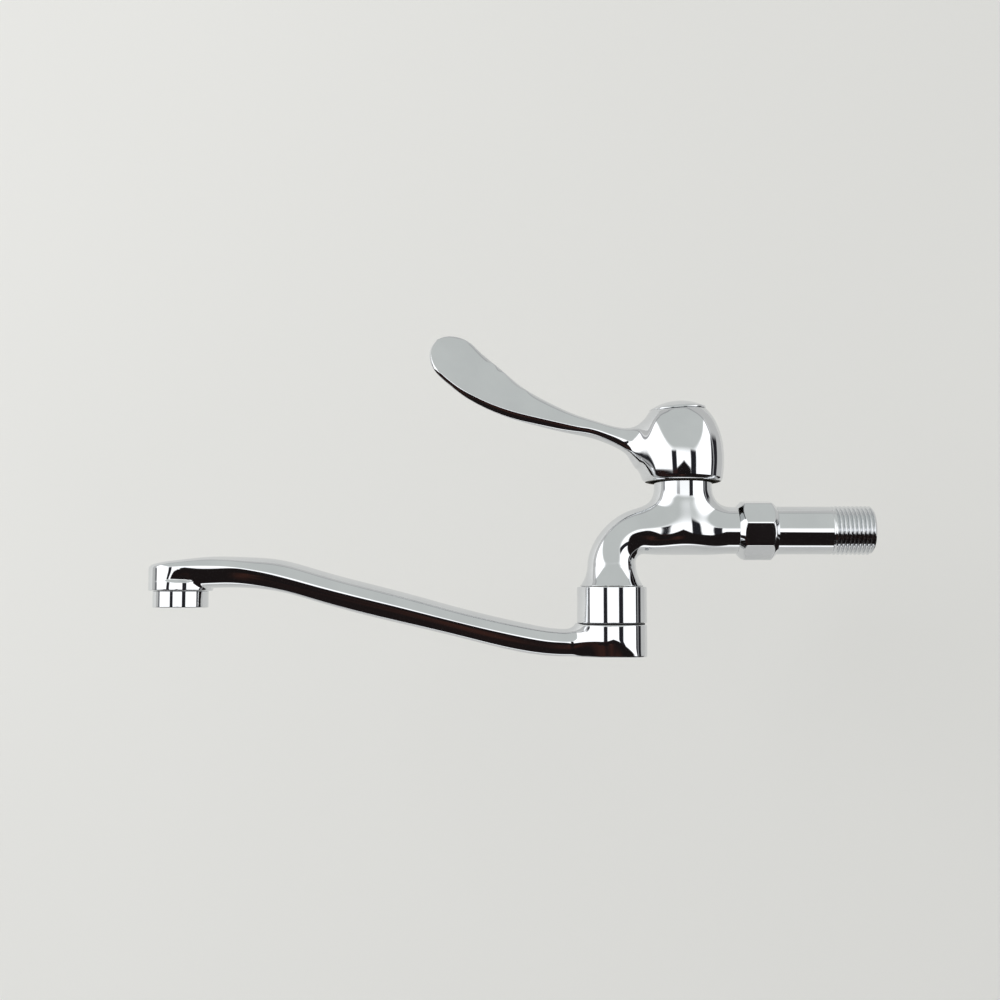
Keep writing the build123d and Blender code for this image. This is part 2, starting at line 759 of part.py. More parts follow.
# Low friction washer on the nut's flange.
with BuildPart() as slip_washer:
    ring(upright(outlet_x, flange_top), outlet_thread_radius - loose_gap, nut_flange_bore_radius, slip_washer_height)
slip_washer.part.label = "slip_washer"
export_step(slip_washer.part, "parts/slip_washer.step")

# Split ring in the spigot's groove, which rests on the slip washer and carries the spout's weight.
with BuildPart() as retaining_ring:
    ring(
        upright(outlet_x, ring_bottom),
        retaining_ring_radius,
        spigot_radius - groove_depth + running_gap,
        retaining_ring_height,
    )
    with BuildSketch(upright(outlet_x, ring_bottom)):
        Rectangle(2 * retaining_ring_radius, retaining_ring_split, align=(Align.MIN, Align.CENTER))
    extrude(amount=retaining_ring_height, mode=Mode.SUBTRACT)
retaining_ring.part.label = "retaining_ring"
export_step(retaining_ring.part, "parts/retaining_ring.step")

# Thin dark washer seen as the seam between the nut and the spout.
with BuildPart() as base_washer:
    ring(upright(outlet_x, base_top), base_washer_radius, spigot_radius + loose_gap, base_seam - 2 * face_gap)
base_washer.part.label = "base_washer"
export_step(base_washer.part, "parts/base_washer.step")

# Spout: a hollow casting that rises in an S from its round base to the aerator head.
with BuildPart() as spout:
    disc(upright(head_x, head_bottom), head_radius, head_top - head_bottom + head_radius)
    slope_direction = (-math.sin(math.radians(head_slope)), 0, math.cos(math.radians(head_slope)))
    split(bisect_by=Plane(origin=(head_x, 0, head_top), z_dir=slope_direction), keep=Keep.BOTTOM)
    fillet(spout.faces().sort_by(Axis.Z)[-1].edges(), head_edge_radius)
    for share, height, half_width, rise, drop in spout_stations:
        with BuildSketch(facing_wall(outlet_x - share * spout_reach, height)) as station:
            spout_section(half_width, rise, drop)
            fillet(station.vertices().group_by(Axis.Y)[0], spout_corner_radius)
    loft()
    disc(upright(outlet_x, base_bottom), nut_radius, spout_base_height)
    for share, height, half_width, rise, drop in spout_stations:
        with BuildSketch(facing_wall(outlet_x - share * spout_reach, height + (rise - drop) / 2)):
            Circle(spout_passage_radius)
    loft(mode=Mode.SUBTRACT)
    disc(upright(outlet_x, spigot_bottom), spigot_radius + running_gap, spigot_socket_depth, mode=Mode.SUBTRACT)
    disc(
        upright(outlet_x, spigot_bottom - base_chamber_height),
        base_chamber_radius,
        base_chamber_height,
        mode=Mode.SUBTRACT,
    )
    disc(
        upright(head_x, head_bottom),
        aerator_thread_radius + running_gap,
        head_shoulder - head_bottom,
        mode=Mode.SUBTRACT,
    )
    disc(
        upright(head_x, head_shoulder),
        aerator_lip_radius,
        spout_passage_radius,
        mode=Mode.SUBTRACT,
    )
spout.part.label = "spout"
export_step(spout.part, "parts/spout.step")

# Spigot: the brass tube of the spout that turns in the outlet.
with BuildPart() as spout_spigot:
    disc(upright(outlet_x, spigot_bottom), spigot_radius, spigot_top - spigot_bottom)
    for height in spigot_ring_heights:
        ring(
            upright(outlet_x, height - o_ring_thickness / 2 - running_gap),
            spigot_radius + edge_break,
            spigot_radius - o_ring_thickness,
            o_ring_thickness + 2 * running_gap,
            mode=Mode.SUBTRACT,
        )
    ring(
        upright(outlet_x, ring_bottom - face_gap),
        spigot_radius + edge_break,
        spigot_radius - groove_depth,
        retaining_ring_height + 2 * face_gap,
        mode=Mode.SUBTRACT,
    )
    disc(upright(outlet_x, spigot_bottom), spigot_bore_radius, spigot_top - spigot_bottom, mode=Mode.SUBTRACT)
spout_spigot.part.label = "spout_spigot"
export_step(spout_spigot.part, "parts/spout_spigot.step")

# Rubber rings of the spigot, as one group.
with BuildPart() as spout_o_rings:
    for height in spigot_ring_heights:
        o_ring(outlet_x, outlet_axis, spigot_radius - o_ring_thickness / 2, height, o_ring_thickness)
spout_o_rings.part.label = "spout_o_rings"
export_step(spout_o_rings.part, "parts/spout_o_rings.step")

# Aerator ring, screwed into the head, with a lip that carries the inner pieces.
with BuildPart() as aerator_ring:
    disc(upright(head_x, aerator_bottom), aerator_ring_radius, aerator_ring_height)
    chamfer(aerator_ring.edges().filter_by(GeomType.CIRCLE).sort_by(Axis.Z)[0], nut_edge)
    disc(upright(head_x, aerator_shoulder), aerator_thread_radius, aerator_thread_length)
    disc(upright(head_x, aerator_bottom), aerator_lip_radius, aerator_lip_height, mode=Mode.SUBTRACT)
    disc(upright(head_x, lip_top), aerator_bore_radius, aerator_thread_top - lip_top, mode=Mode.SUBTRACT)
aerator_ring.part.label = "aerator_ring"
export_step(aerator_ring.part, "parts/aerator_ring.step")

# Rubber washer between the head's shoulder and the aerator.
with BuildPart() as aerator_washer:
    ring(upright(head_x, aerator_thread_top), aerator_thread_radius, aerator_lip_radius, aerator_washer_height)
aerator_washer.part.label = "aerator_washer"
export_step(aerator_washer.part, "parts/aerator_washer.step")

# Diffuser: the white plastic grid seen from below.
with BuildPart() as diffuser:
    disc(upright(head_x, lip_top), insert_radius, diffuser_height)
    with BuildSketch(upright(head_x, lip_top)):
        with GridLocations(diffuser_pitch, diffuser_pitch, diffuser_rows, diffuser_rows):
            Rectangle(diffuser_cell, diffuser_cell)
        Circle(aerator_lip_radius - loose_gap, mode=Mode.INTERSECT)
    extrude(amount=diffuser_height, mode=Mode.SUBTRACT)
diffuser.part.label = "diffuser"
export_step(diffuser.part, "parts/diffuser.step")

# Two perforated steel screens above the diffuser, as one group.
with BuildPart() as aerator_screens:
    for height in screen_heights:
        disc(upright(head_x, height), insert_radius, screen_height)
    with BuildSketch(upright(head_x, screen_heights[0])):
        with HexLocations(screen_hole_pitch / 2, 7, 7):
            Circle(screen_hole_radius)
        Circle(aerator_lip_radius, mode=Mode.INTERSECT)
    extrude(amount=screen_heights[-1] + screen_height - screen_heights[0], mode=Mode.SUBTRACT)
aerator_screens.part.label = "aerator_screens"
export_step(aerator_screens.part, "parts/aerator_screens.step")

# Aerator core: a plastic cup whose plate splits the water into jets.
with BuildPart() as aerator_core:
    disc(upright(head_x, core_bottom), insert_radius, aerator_thread_top - core_bottom)
    disc(upright(head_x, core_bottom), insert_radius - core_wall, core_skirt_height, mode=Mode.SUBTRACT)
    plate_top = core_bottom + core_skirt_height + core_plate_height
    disc(upright(head_x, plate_top), insert_radius - core_wall, aerator_thread_top - plate_top, mode=Mode.SUBTRACT)
    with BuildSketch(upright(head_x, core_bottom + core_skirt_height)):
        with PolarLocations(insert_radius / 2, core_jets):
            Circle(screen_hole_radius)
    extrude(amount=core_plate_height, mode=Mode.SUBTRACT)
aerator_core.part.label = "aerator_core"
export_step(aerator_core.part, "parts/aerator_core.step")
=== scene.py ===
# %% [markdown]
# # A chrome sink tap
# The tap stands in front of a pale upright board. In the photograph it lies on a pale table.
# Cast brass under bright chrome has soft, rounded joins and mirror-like walls. Chrome shows every
# facet, so each visible casting is a fine surface worked out with numpy, and the CAD parts stay
# inside it. One function per kind of shape keeps the cells short.

# %% Load the frame
import bpy
import mathutils
import json
import math
import numpy as np
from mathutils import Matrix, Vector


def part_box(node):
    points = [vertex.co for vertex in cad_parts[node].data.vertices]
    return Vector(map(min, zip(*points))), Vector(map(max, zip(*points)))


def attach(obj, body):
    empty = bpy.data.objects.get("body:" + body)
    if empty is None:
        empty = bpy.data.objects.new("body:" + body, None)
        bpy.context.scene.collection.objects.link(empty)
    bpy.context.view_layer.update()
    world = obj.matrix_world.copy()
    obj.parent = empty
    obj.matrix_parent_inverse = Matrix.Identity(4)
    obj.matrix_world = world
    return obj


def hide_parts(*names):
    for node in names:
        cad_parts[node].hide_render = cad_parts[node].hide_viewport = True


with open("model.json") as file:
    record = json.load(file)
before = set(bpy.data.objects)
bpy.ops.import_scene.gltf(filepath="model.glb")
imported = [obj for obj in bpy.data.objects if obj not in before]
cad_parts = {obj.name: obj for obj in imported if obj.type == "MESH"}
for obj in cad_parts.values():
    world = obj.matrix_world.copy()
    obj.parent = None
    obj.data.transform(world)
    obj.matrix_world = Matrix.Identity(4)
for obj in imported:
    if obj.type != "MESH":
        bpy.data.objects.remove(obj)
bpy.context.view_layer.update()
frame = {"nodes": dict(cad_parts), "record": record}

# %% [markdown]
# The CAD parts give the main places: the axis of the valve, of the outlet and of the spout's head.
# Lengths in this file are in millimetres, and one factor turns them to metres at the end.

# %% Places read from the CAD parts
MM = 0.001


def box_mm(part):
    """Lowest and highest corner of a CAD part in millimetres."""
    low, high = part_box(part)
    return np.array(low) / MM, np.array(high) / MM


nipple_low, _ = box_mm("inlet_nipple")
nut_low, nut_high = box_mm("swivel_nut")
gasket_low, gasket_high = box_mm("headwork_gasket")
handle_low, _ = box_mm("handle")
spout_low, _ = box_mm("spout")
aerator_low, aerator_high = box_mm("aerator_ring")
valve_x = (gasket_low[0] + gasket_high[0]) / 2
outlet_x = (nut_low[0] + nut_high[0]) / 2
head_x = (aerator_low[0] + aerator_high[0]) / 2
neck_top = gasket_low[2]
dome_rim_height = handle_low[2]
print("axes at x =", round(valve_x, 2), round(outlet_x, 2), round(head_x, 2))

# %% [markdown]
# A surface is a grid of points. Two small helpers make its faces and put it into a mesh.
# The signed volume tells whether the faces point outwards, and turns them round if not.

# %% Grid surfaces


def grid_faces(rows, columns, wrap):
    """Corner indices of every cell of a grid of points. wrap joins the last column to the first."""
    row, column = np.meshgrid(np.arange(rows - 1), np.arange(columns - (not wrap)), indexing="ij")
    right = (column + 1) % columns
    here, next_row = row * columns, (row + 1) * columns
    cells = [here + column, here + right, next_row + right, next_row + column]
    return np.stack(cells, axis=-1).reshape(-1, 4)


def closed_grid(points):
    """Points and faces of a tube whose two end rows are closed by a fan to their middle."""
    rows, columns, _ = points.shape
    corners = points.reshape(-1, 3)
    faces = grid_faces(rows, columns, True).tolist()
    ends = np.array([points[0].mean(axis=0), points[-1].mean(axis=0)])
    first, last = len(corners), len(corners) + 1
    step = np.arange(columns)
    after = (step + 1) % columns
    faces += np.stack([after, step, np.full(columns, first)], axis=-1).tolist()
    base = (rows - 1) * columns
    faces += np.stack([base + step, base + after, np.full(columns, last)], axis=-1).tolist()
    return np.vstack([corners, ends]), faces


def signed_volume(corners, faces):
    """Volume inside the faces: positive when they point outwards."""
    total = 0.0
    for size in (3, 4):
        chosen = np.array([face for face in faces if len(face) == size])
        if len(chosen):
            for second in range(1, size - 1):
                a, b, c = (corners[chosen[:, i]] for i in (0, second, second + 1))
                total += np.einsum("ij,ij->i", a, np.cross(b, c)).sum() / 6
    return total


def new_piece(name, corners, faces, body=None, smooth=True):
    """Object made of millimetre points, with its faces outwards, that rides on a CAD body."""
    if signed_volume(corners - corners.mean(axis=0), faces) < 0:
        faces = [face[::-1] for face in faces]
    mesh = bpy.data.meshes.new(name)
    mesh.from_pydata((corners * MM).tolist(), [], faces)
    mesh.polygons.foreach_set("use_smooth", np.full(len(mesh.polygons), smooth))
    mesh.update()
    piece = bpy.data.objects.new(name, mesh)
    bpy.context.scene.collection.objects.link(piece)
    if body:
        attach(piece, body)
    print(name, len(faces), "faces")
    return piece


# %% [markdown]
# Turned parts such as the nut and the aerator ring are an outline carried round an axis.
# A real edge is never sharp: the plating rounds it by a few tenths of a millimetre, and that thin
# bright line is what makes a chrome collar look real. So the outline gets an arc at each corner.

# %% Turned surfaces


def rounded_outline(corners, radii, steps=6):
    """Closed or open outline with each corner replaced by an arc of its own radius.

    The arc touches both sides at radius / tan(half the corner's angle) from the corner. One more point
    on each side, near the arc, keeps the flat stretches flat when they are shaded smoothly.
    """
    corners = np.array(corners, dtype=float)
    outline = []
    for index, radius in enumerate(radii):
        here = corners[index]
        if radius == 0:
            outline.append(here)
            continue
        back = corners[index - 1] - here
        ahead = corners[(index + 1) % len(corners)] - here
        back_unit = back / np.hypot(*back)
        ahead_unit = ahead / np.hypot(*ahead)
        half = math.acos(np.clip(back_unit @ ahead_unit, -1, 1)) / 2
        reach = radius / math.tan(half)
        middle = (back_unit + ahead_unit) / np.hypot(*(back_unit + ahead_unit))
        centre = here + middle * radius / math.sin(half)
        start = here + back_unit * reach - centre
        stop = here + ahead_unit * reach - centre
        turn = math.acos(np.clip(start @ stop / radius**2, -1, 1))
        share = np.linspace(0, 1, steps)[:, None]
        arc = (np.sin((1 - share) * turn) * start + np.sin(share * turn) * stop) / math.sin(turn)
        outline.append(here + back_unit * (reach + 0.25 * radius))
        outline.extend(centre + arc)
        outline.append(here + ahead_unit * (reach + 0.25 * radius))
    return np.array(outline)


def turned_grid(outline, axis_x, base_z=0.0, lean=0.0, columns=240):
    """Outline of (radius, height) carried round an upright axis that leans by an angle towards -X."""
    turn = np.linspace(0, 2 * math.pi, columns, endpoint=False)
    radius, height = outline[:, :1], outline[:, 1:]
    side = radius * np.cos(turn)
    across = radius * np.sin(turn)
    x = axis_x + side * math.cos(lean) - height * math.sin(lean)
    z = base_z + side * math.sin(lean) + height * math.cos(lean)
    return np.stack([x, across, z], axis=-1)


def turned_ring(name, corners, radii, axis_x, body, columns=240):
    """Ring whose closed outline is carried round an upright axis."""
    outline = rounded_outline(corners, radii)
    grid = turned_grid(np.vstack([outline, outline[:1]]), axis_x, columns=columns)
    rows = len(outline)
    faces = grid_faces(rows + 1, columns, True) % (rows * columns)
    return new_piece(name, grid[:-1].reshape(-1, 3), faces.tolist(), body)


# %% [markdown]
# Cast joins such as the neck on the barrel have no edge at all. They are easiest to describe as a
# field: a function that is zero on the skin and grows outwards. The soft minimum of two fields is
# a blend with a fillet between them. A rough closed mesh is remeshed into small even faces, and
# every point then slides along the field's slope until the field is zero there. The slope is also
# the exact direction of the skin, so it is used for shading: chrome shows the smallest unevenness.

# %% Soft fields


def soft_least(a, b, blend):
    """The lesser of two fields, rounded off over the blend width, which gives a fillet."""
    near = np.clip(blend - np.abs(a - b), 0, None) / blend
    return np.minimum(a, b) - near**2 * blend / 4


def soft_most(a, b, blend):
    """The greater of two fields, rounded off over the blend width, which gives a rounded edge."""
    return -soft_least(-a, -b, blend)


def smooth_step(value, start, end):
    """0 before start, 1 after end and a smooth rise between."""
    share = np.clip((value - start) / (end - start), 0, 1)
    return share * share * (3 - 2 * share)


def field_slope(field, points, small=0.01):
    """Value of the field at each point and its slope there, from small steps along x, y and z."""
    value = field(points)
    slope = np.empty_like(points)
    for axis in range(3):
        ahead = points.copy()
        ahead[:, axis] += small
        slope[:, axis] = (field(ahead) - value) / small
    return value, slope


def settle(field, points, pairs, rounds=14, longest=0.3):
    """Newton's steps: each point moves against the slope by field / slope squared, a bit at a time.

    Between the steps each point goes half way to the middle of its neighbours, which evens out the
    faces. The last steps leave that out, so that the points end on the field.
    """
    points = points.copy()
    neighbours = np.bincount(pairs.ravel(), minlength=len(points))[:, None]
    for step_number in range(rounds):
        if step_number < rounds - 4:
            total = np.zeros_like(points)
            np.add.at(total, pairs[:, 0], points[pairs[:, 1]])
            np.add.at(total, pairs[:, 1], points[pairs[:, 0]])
            points = (points + total / neighbours) / 2
        value, slope = field_slope(field, points)
        steepness = np.maximum((slope**2).sum(axis=1), 0.05)
        step = slope * (value / steepness)[:, None]
        length = np.sqrt((step**2).sum(axis=1))
        points -= step * np.minimum(1, longest / np.maximum(length, 1e-9))[:, None]
    return points


def blended_piece(name, grids, field, voxel, body):
    """Closed grids remeshed into one skin of small faces, which is then settled on the field."""
    corners = []
    faces = []
    for grid in grids:
        some_corners, some_faces = closed_grid(grid)
        if signed_volume(some_corners - some_corners.mean(axis=0), some_faces) < 0:
            some_faces = [face[::-1] for face in some_faces]
        start = sum(len(part) for part in corners)
        faces += [[start + corner for corner in face] for face in some_faces]
        corners.append(some_corners)
    rough = new_piece(name + "_rough", np.vstack(corners), faces)
    remesh = rough.modifiers.new("even faces", "REMESH")
    remesh.mode = "VOXEL"
    remesh.voxel_size = voxel * MM
    bpy.context.view_layer.update()
    even = bpy.data.meshes.new_from_object(rough.evaluated_get(bpy.context.evaluated_depsgraph_get()))
    points = np.empty(len(even.vertices) * 3)
    even.vertices.foreach_get("co", points)
    pairs = np.empty(len(even.edges) * 2, dtype=int)
    even.edges.foreach_get("vertices", pairs)
    points = settle(field, points.reshape(-1, 3) / MM, pairs.reshape(-1, 2))
    corner_index = np.empty(len(even.loops), dtype=int)
    even.loops.foreach_get("vertex_index", corner_index)
    piece = new_piece(name, points, corner_index.reshape(-1, 4).tolist(), body)
    value, slope = field_slope(field, points)
    length = np.sqrt((slope**2).sum(axis=1, keepdims=True))
    piece.data.normals_split_custom_set_from_vertices((slope / np.maximum(length, 1e-6)).tolist())
    print(name, "furthest from its field", round(float(np.abs(value).max()), 3), "mm")
    bpy.data.objects.remove(rough)
    bpy.data.meshes.remove(even)
    return piece


# %% [markdown]
# The valve's casting: a barrel comes from the wall, turns down a quarter circle, narrows at its
# waist and flares to the outlet's skirt. The neck stands on the barrel.

# %% Valve casting
barrel_radius = 10.1
barrel_start_x = -50.0
bend_radius = 15.5
waist = 12.0
neck_radius = 12.4
neck_foot_radius = 10.7
edge_rounding = 0.3
skirt_top = -18.7
skirt_bottom = nut_high[2] + 0.1
skirt_radius = 13.6
elbow_end_radius = 10.5
bend_centre_x = outlet_x + bend_radius


def bent_tube(points):
    """Distance from the bent centre line, less the radius there.

    Along the quarter turn the radius falls smoothly to a waist in the middle and grows again.
    """
    x, y, z = points.T
    share = np.arctan2(bend_centre_x - x, z + bend_radius) / (math.pi / 2)
    share = np.where(x > bend_centre_x, 0, np.where(z < -bend_radius, 1, share))
    from_bend = np.hypot(x - bend_centre_x, z + bend_radius) - bend_radius
    from_drop = np.where(z < -bend_radius, outlet_x - x, from_bend)
    in_plane = np.where(x > bend_centre_x, z, from_drop)
    radius = barrel_radius + 0.3 * share**2 - waist * (share * (1 - share)) ** 2
    return np.hypot(in_plane, y) - radius


def valve_field(points):
    """Soft union of the bent tube, the neck and the skirt's cone, cut off level at both ends."""
    x, y, z = points.T
    from_neck = np.hypot(x - valve_x, y)
    neck = from_neck - (neck_foot_radius + (neck_radius - neck_foot_radius) * smooth_step(z, -2, 13))
    neck = soft_most(neck, -z - 5, 7)
    cone_share = (skirt_top - z) / (skirt_top - skirt_bottom)
    cone_radius = elbow_end_radius + cone_share * (skirt_radius - elbow_end_radius)
    cone = (np.hypot(x - outlet_x, y) - cone_radius) * 0.85
    whole = soft_least(bent_tube(points), neck, 9.0)
    whole = soft_least(whole, cone, 2.0)
    whole = soft_most(whole, skirt_bottom - z, edge_rounding)
    whole = soft_most(whole, z - neck_top, edge_rounding)
    return soft_most(whole, x - barrel_start_x, edge_rounding)


def bent_tube_grid(columns=64):
    """Rings round the centre line: the barrel, the bend and the outlet's end."""
    turn = np.linspace(0, 2 * math.pi, columns, endpoint=False)
    straight_x = np.linspace(barrel_start_x, bend_centre_x, 12)
    bend = np.linspace(0, math.pi / 2, 24)[1:]
    down_z = np.linspace(-bend_radius, skirt_bottom, 8)[1:]
    line_x = np.concatenate([straight_x, bend_centre_x - bend_radius * np.sin(bend), np.full(7, outlet_x)])
    line_z = np.concatenate([0 * straight_x, bend_radius * (np.cos(bend) - 1), down_z])
    angle = np.concatenate([0 * straight_x, bend, np.full(7, math.pi / 2)])
    radius = np.full(len(line_x), barrel_radius - 0.2)
    radius[-5:] = np.linspace(elbow_end_radius, skirt_radius, 5)
    out = radius[:, None] * np.cos(turn)
    x = line_x[:, None] - np.sin(angle)[:, None] * out
    z = line_z[:, None] + np.cos(angle)[:, None] * out
    return np.stack([x, radius[:, None] * np.sin(turn), z], axis=-1)


even_face = 0.45
neck_outline = np.array([(9.5, -1.0), (10.5, 2.0), (11.8, 6.0), (neck_radius, 11.0), (neck_radius, neck_top)])
valve_grids = [bent_tube_grid(), turned_grid(neck_outline, valve_x, columns=64)]
valve_casting = blended_piece("valve_casting", valve_grids, valve_field, even_face, "valve")
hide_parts("valve_body")

# %% [markdown]
# The collar has eight flats and is turned a few degrees. Its corners were cut off by a 45 degree
# cone on a lathe. Where flat and cone meet, the edge is a shallow curve. The radius at each angle is
# the lesser of the flat's distance and the cone's, a little softened.

# %% Eight sided collar
collar_end_x = -41.3
collar_start_x = -58.0
collar_corner_radius = 13.3
collar_chamfer = 2.8
collar_turn = math.radians(8.0)
flat_angle = math.pi / 4


def collar_grid(columns=480):
    """Rings along the collar. Each point's radius is flat distance / cos(angle from the flat), held
    under the cone that starts at both ends."""
    turn = np.linspace(0, 2 * math.pi, columns, endpoint=False)
    flat = collar_corner_radius * math.cos(flat_angle / 2)
    from_flat = (turn - collar_turn + flat_angle / 2) % flat_angle - flat_angle / 2
    flat_radius = flat / np.cos(from_flat)
    near = np.array([0, 0.12, 0.25, 0.5, 0.8, 1.1, 1.4, 1.6, 1.8, 2.0, 2.2, 2.4, 2.6, 2.8, 3.1, 3.6])
    middle = np.linspace(4.5, collar_end_x - collar_start_x - 4.5, 8)
    along = np.concatenate([near, middle, collar_end_x - collar_start_x - near[::-1]])
    to_end = np.minimum(along, collar_end_x - collar_start_x - along)
    cone = collar_corner_radius - collar_chamfer + to_end
    radius = soft_least(np.broadcast_to(flat_radius, (len(along), columns)), cone[:, None], 0.35)
    radius = soft_least(radius, collar_corner_radius - 0.12, 0.2)
    ends = np.full((1, columns), barrel_radius - 1)
    rings = np.vstack([ends, radius, ends])
    along = np.concatenate([[0], along, [collar_end_x - collar_start_x]])
    x = np.broadcast_to(collar_start_x + along[:, None], rings.shape)
    return np.stack([x, -rings * np.cos(turn), -rings * np.sin(turn)], axis=-1)


collar = new_piece("collar", *closed_grid(collar_grid()), "valve")

# %% [markdown]
# The inlet pipe ends in a rolled pipe thread. The groove's depth is a rounded wave that moves on by
# one pitch with each turn, and fades out where the thread begins.

# %% Inlet pipe with its thread
thread_pitch = 1.814
thread_depth = 1.16
thread_length = 18.4
crest_radius = 10.45
pipe_radius = 10.28
bore_radius = 6.2


def inlet_pipe_grid(columns=180, per_pitch=14):
    """Rings from the collar to the wall end and back through the bore.

    The rings stand straight. The wave's phase is the distance along the pipe in pitches plus the
    share of a turn, so each groove winds on to the next one.
    """
    turn = np.linspace(0, 2 * math.pi, columns, endpoint=False)
    plain_x = np.linspace(collar_end_x - 6, -thread_length - 0.2, 8)
    thread_x = np.arange(-thread_length, -0.01, thread_pitch / per_pitch)
    along = np.concatenate([plain_x, thread_x, [0.0]])
    phase = along[:, None] / thread_pitch + turn / (2 * math.pi)
    wave = (0.5 - 0.5 * np.cos(2 * math.pi * phase)) ** 1.5
    fade = smooth_step(along, -thread_length, -thread_length + 1.3 * thread_pitch)[:, None]
    radius = pipe_radius + (crest_radius - pipe_radius) * fade - thread_depth * wave * fade
    radius = np.minimum(radius, crest_radius - thread_depth + 0.1 - along[:, None])
    back_x = np.array([0, 0, -0.3, -1.0, -20.0, nipple_low[0]])
    back_radius = bore_radius + np.array([0.5, 0.3, 0, 0, 0, 0])
    shape = (len(back_x), columns)
    along = np.concatenate([along, back_x])
    radius = np.vstack([radius, np.broadcast_to(back_radius[:, None], shape)])
    x = np.broadcast_to(along[:, None], radius.shape)
    return np.stack([x, -radius * np.sin(turn), -radius * np.cos(turn)], axis=-1)


inlet_pipe = new_piece("inlet_pipe", *closed_grid(inlet_pipe_grid()), "valve")
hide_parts("inlet_nipple")

# %% [markdown]
# The swivel nut is a plain collar with a thin dark seam to the spout below it.

# %% Swivel nut
nut_radius = (nut_high[0] - nut_low[0]) / 2
edge = 0.35
nut_bore_radius = 12.3
nut_flange_radius = 9.3
swivel_nut = turned_ring(
    "swivel_nut_shell",
    [(nut_bore_radius, nut_low[2] + 1), (nut_bore_radius, nut_high[2]), (nut_radius, nut_high[2]),
     (nut_radius, nut_low[2]), (nut_flange_radius, nut_low[2])],
    [0, 0.2, edge, edge, 0.2],
    outlet_x,
    "valve",
)
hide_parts("swivel_nut")

# %% [markdown]
# The spout is one casting: a tube that is half an ellipse above, with sides that lean in to a flat
# underside, runs in an S to the head. Its size at a few places is known from the photograph, and a
# smooth curve through them gives it anywhere between.

# %% Spout
spout_stations = np.array([
    (-10.0, -48.6, 6.4, 6.4, 5.2),
    (0.0, -48.6, 6.4, 6.4, 5.2),
    (12.0, -48.6, 6.9, 6.4, 5.2),
    (24.0, -48.4, 6.6, 6.5, 5.3),
    (36.0, -46.6, 7.2, 6.7, 5.8),
    (66.0, -39.9, 8.4, 7.1, 5.6),
    (91.0, -33.5, 8.7, 7.5, 6.1),
    (125.0, -24.8, 8.7, 7.7, 6.0),
    (141.0, -20.2, 8.6, 7.4, 6.2),
    (152.0, -17.7, 8.7, 6.1, 7.2),
    (162.0, -16.6, 9.6, 5.4, 7.9),
    (172.0, -16.6, 11.8, 5.3, 8.2),
    (181.0, -16.8, 13.5, 4.5, 8.6),
    (190.0, -17.0, 13.63, 3.7, 9.0),
    (200.0, -17.4, 13.63, 3.0, 9.0),
])


def smooth_curve(places, values, wanted):
    """Cubic spline through the values with no bend at its two ends, read off at the wanted places."""
    gap = np.diff(places)
    count = len(places)
    system = np.eye(count)
    change = np.zeros((count, values.shape[1]))
    inner = np.arange(1, count - 1)
    system[inner, inner - 1] = gap[:-1]
    system[inner, inner] = 2 * (gap[:-1] + gap[1:])
    system[inner, inner + 1] = gap[1:]
    slope = np.diff(values, axis=0) / gap[:, None]
    change[1:-1] = 6 * np.diff(slope, axis=0)
    bend = np.linalg.solve(system, change)
    cell = np.clip(np.searchsorted(places, wanted) - 1, 0, count - 2)
    width = gap[cell][:, None]
    after = (wanted - places[cell])[:, None]
    before = width - after
    curved = (bend[cell] * before**3 + bend[cell + 1] * after**3) / (6 * width)
    start = values[cell] / width - bend[cell] * width / 6
    end = values[cell + 1] / width - bend[cell + 1] * width / 6
    return curved + start * before + end * after


spout_places = np.linspace(spout_stations[0, 0], spout_stations[-1, 0], 400)
spout_sizes = smooth_curve(spout_stations[:, 0], spout_stations[:, 1:], spout_places)
head_radius = 13.75
head_bottom = -25.95
head_collar_top = -21.9
head_reach = outlet_x - head_x
base_radius = nut_radius
base_top = nut_low[2] - 0.6
base_bottom = spout_low[2]


def spout_field(points):
    """Soft union of the tube, the round base and the head's collar.

    The tube's field is the greatest of an upper ellipse, two leaning sides and the underside. Towards
    the head the ellipse grows square, the sides stand up and the tube ends round the head's axis. The
    base leans in below on the side where the tube joins it.
    """
    x, y, z = points.T
    reach = outlet_x - x
    spine, half_width, rise, drop = (np.interp(reach, spout_places, column) for column in spout_sizes.T)
    power = 2.0 + 2.0 * smooth_step(reach, 150, head_reach)
    lean_in = np.tan(np.radians(24.0 * (1 - smooth_step(reach, 179, 189))))
    above = z - spine
    across = np.hypot(y, np.maximum(reach - head_reach, 0))
    width = half_width - soft_most(-above - 1.2 * smooth_step(reach, 110, 165), 0, 2.4) * lean_in
    over = (across / width) ** power + (np.maximum(above, 0) / rise) ** power
    ellipse = (np.maximum(over, 1e-9) ** (1 / power) - 1) * rise
    side = (across - width) / np.hypot(1, lean_in)
    lower_edge = 1.8 + 2.0 * smooth_step(reach, 140, 165) - 3.0 * smooth_step(reach, 178, 187)
    tube = soft_most(np.where(above > 0, ellipse, side), -above - drop, lower_edge)
    tube = soft_most(tube, -reach, 0.5)
    base_lean = math.tan(math.radians(20.0)) * smooth_step(reach, -14, 1)
    lean_top = -47.6 - 4.5 * smooth_step(-reach, 0, 12)
    base = np.hypot(x - outlet_x, y) - base_radius + soft_most(lean_top - z, 0, 1.5) * base_lean
    base = soft_most(base, z - base_top, 0.7)
    from_head = np.where(reach < 150, 100, np.hypot(x - head_x, y))
    collar = soft_most(from_head - head_radius + 0.22, z - head_collar_top, 0.7)
    whole = soft_least(soft_least(tube, base, 6.0), collar, 0.9 - 0.6 * smooth_step(reach, 184, 194))
    return soft_most(whole, np.where(reach > 160, head_bottom, base_bottom) - z, 0.6)


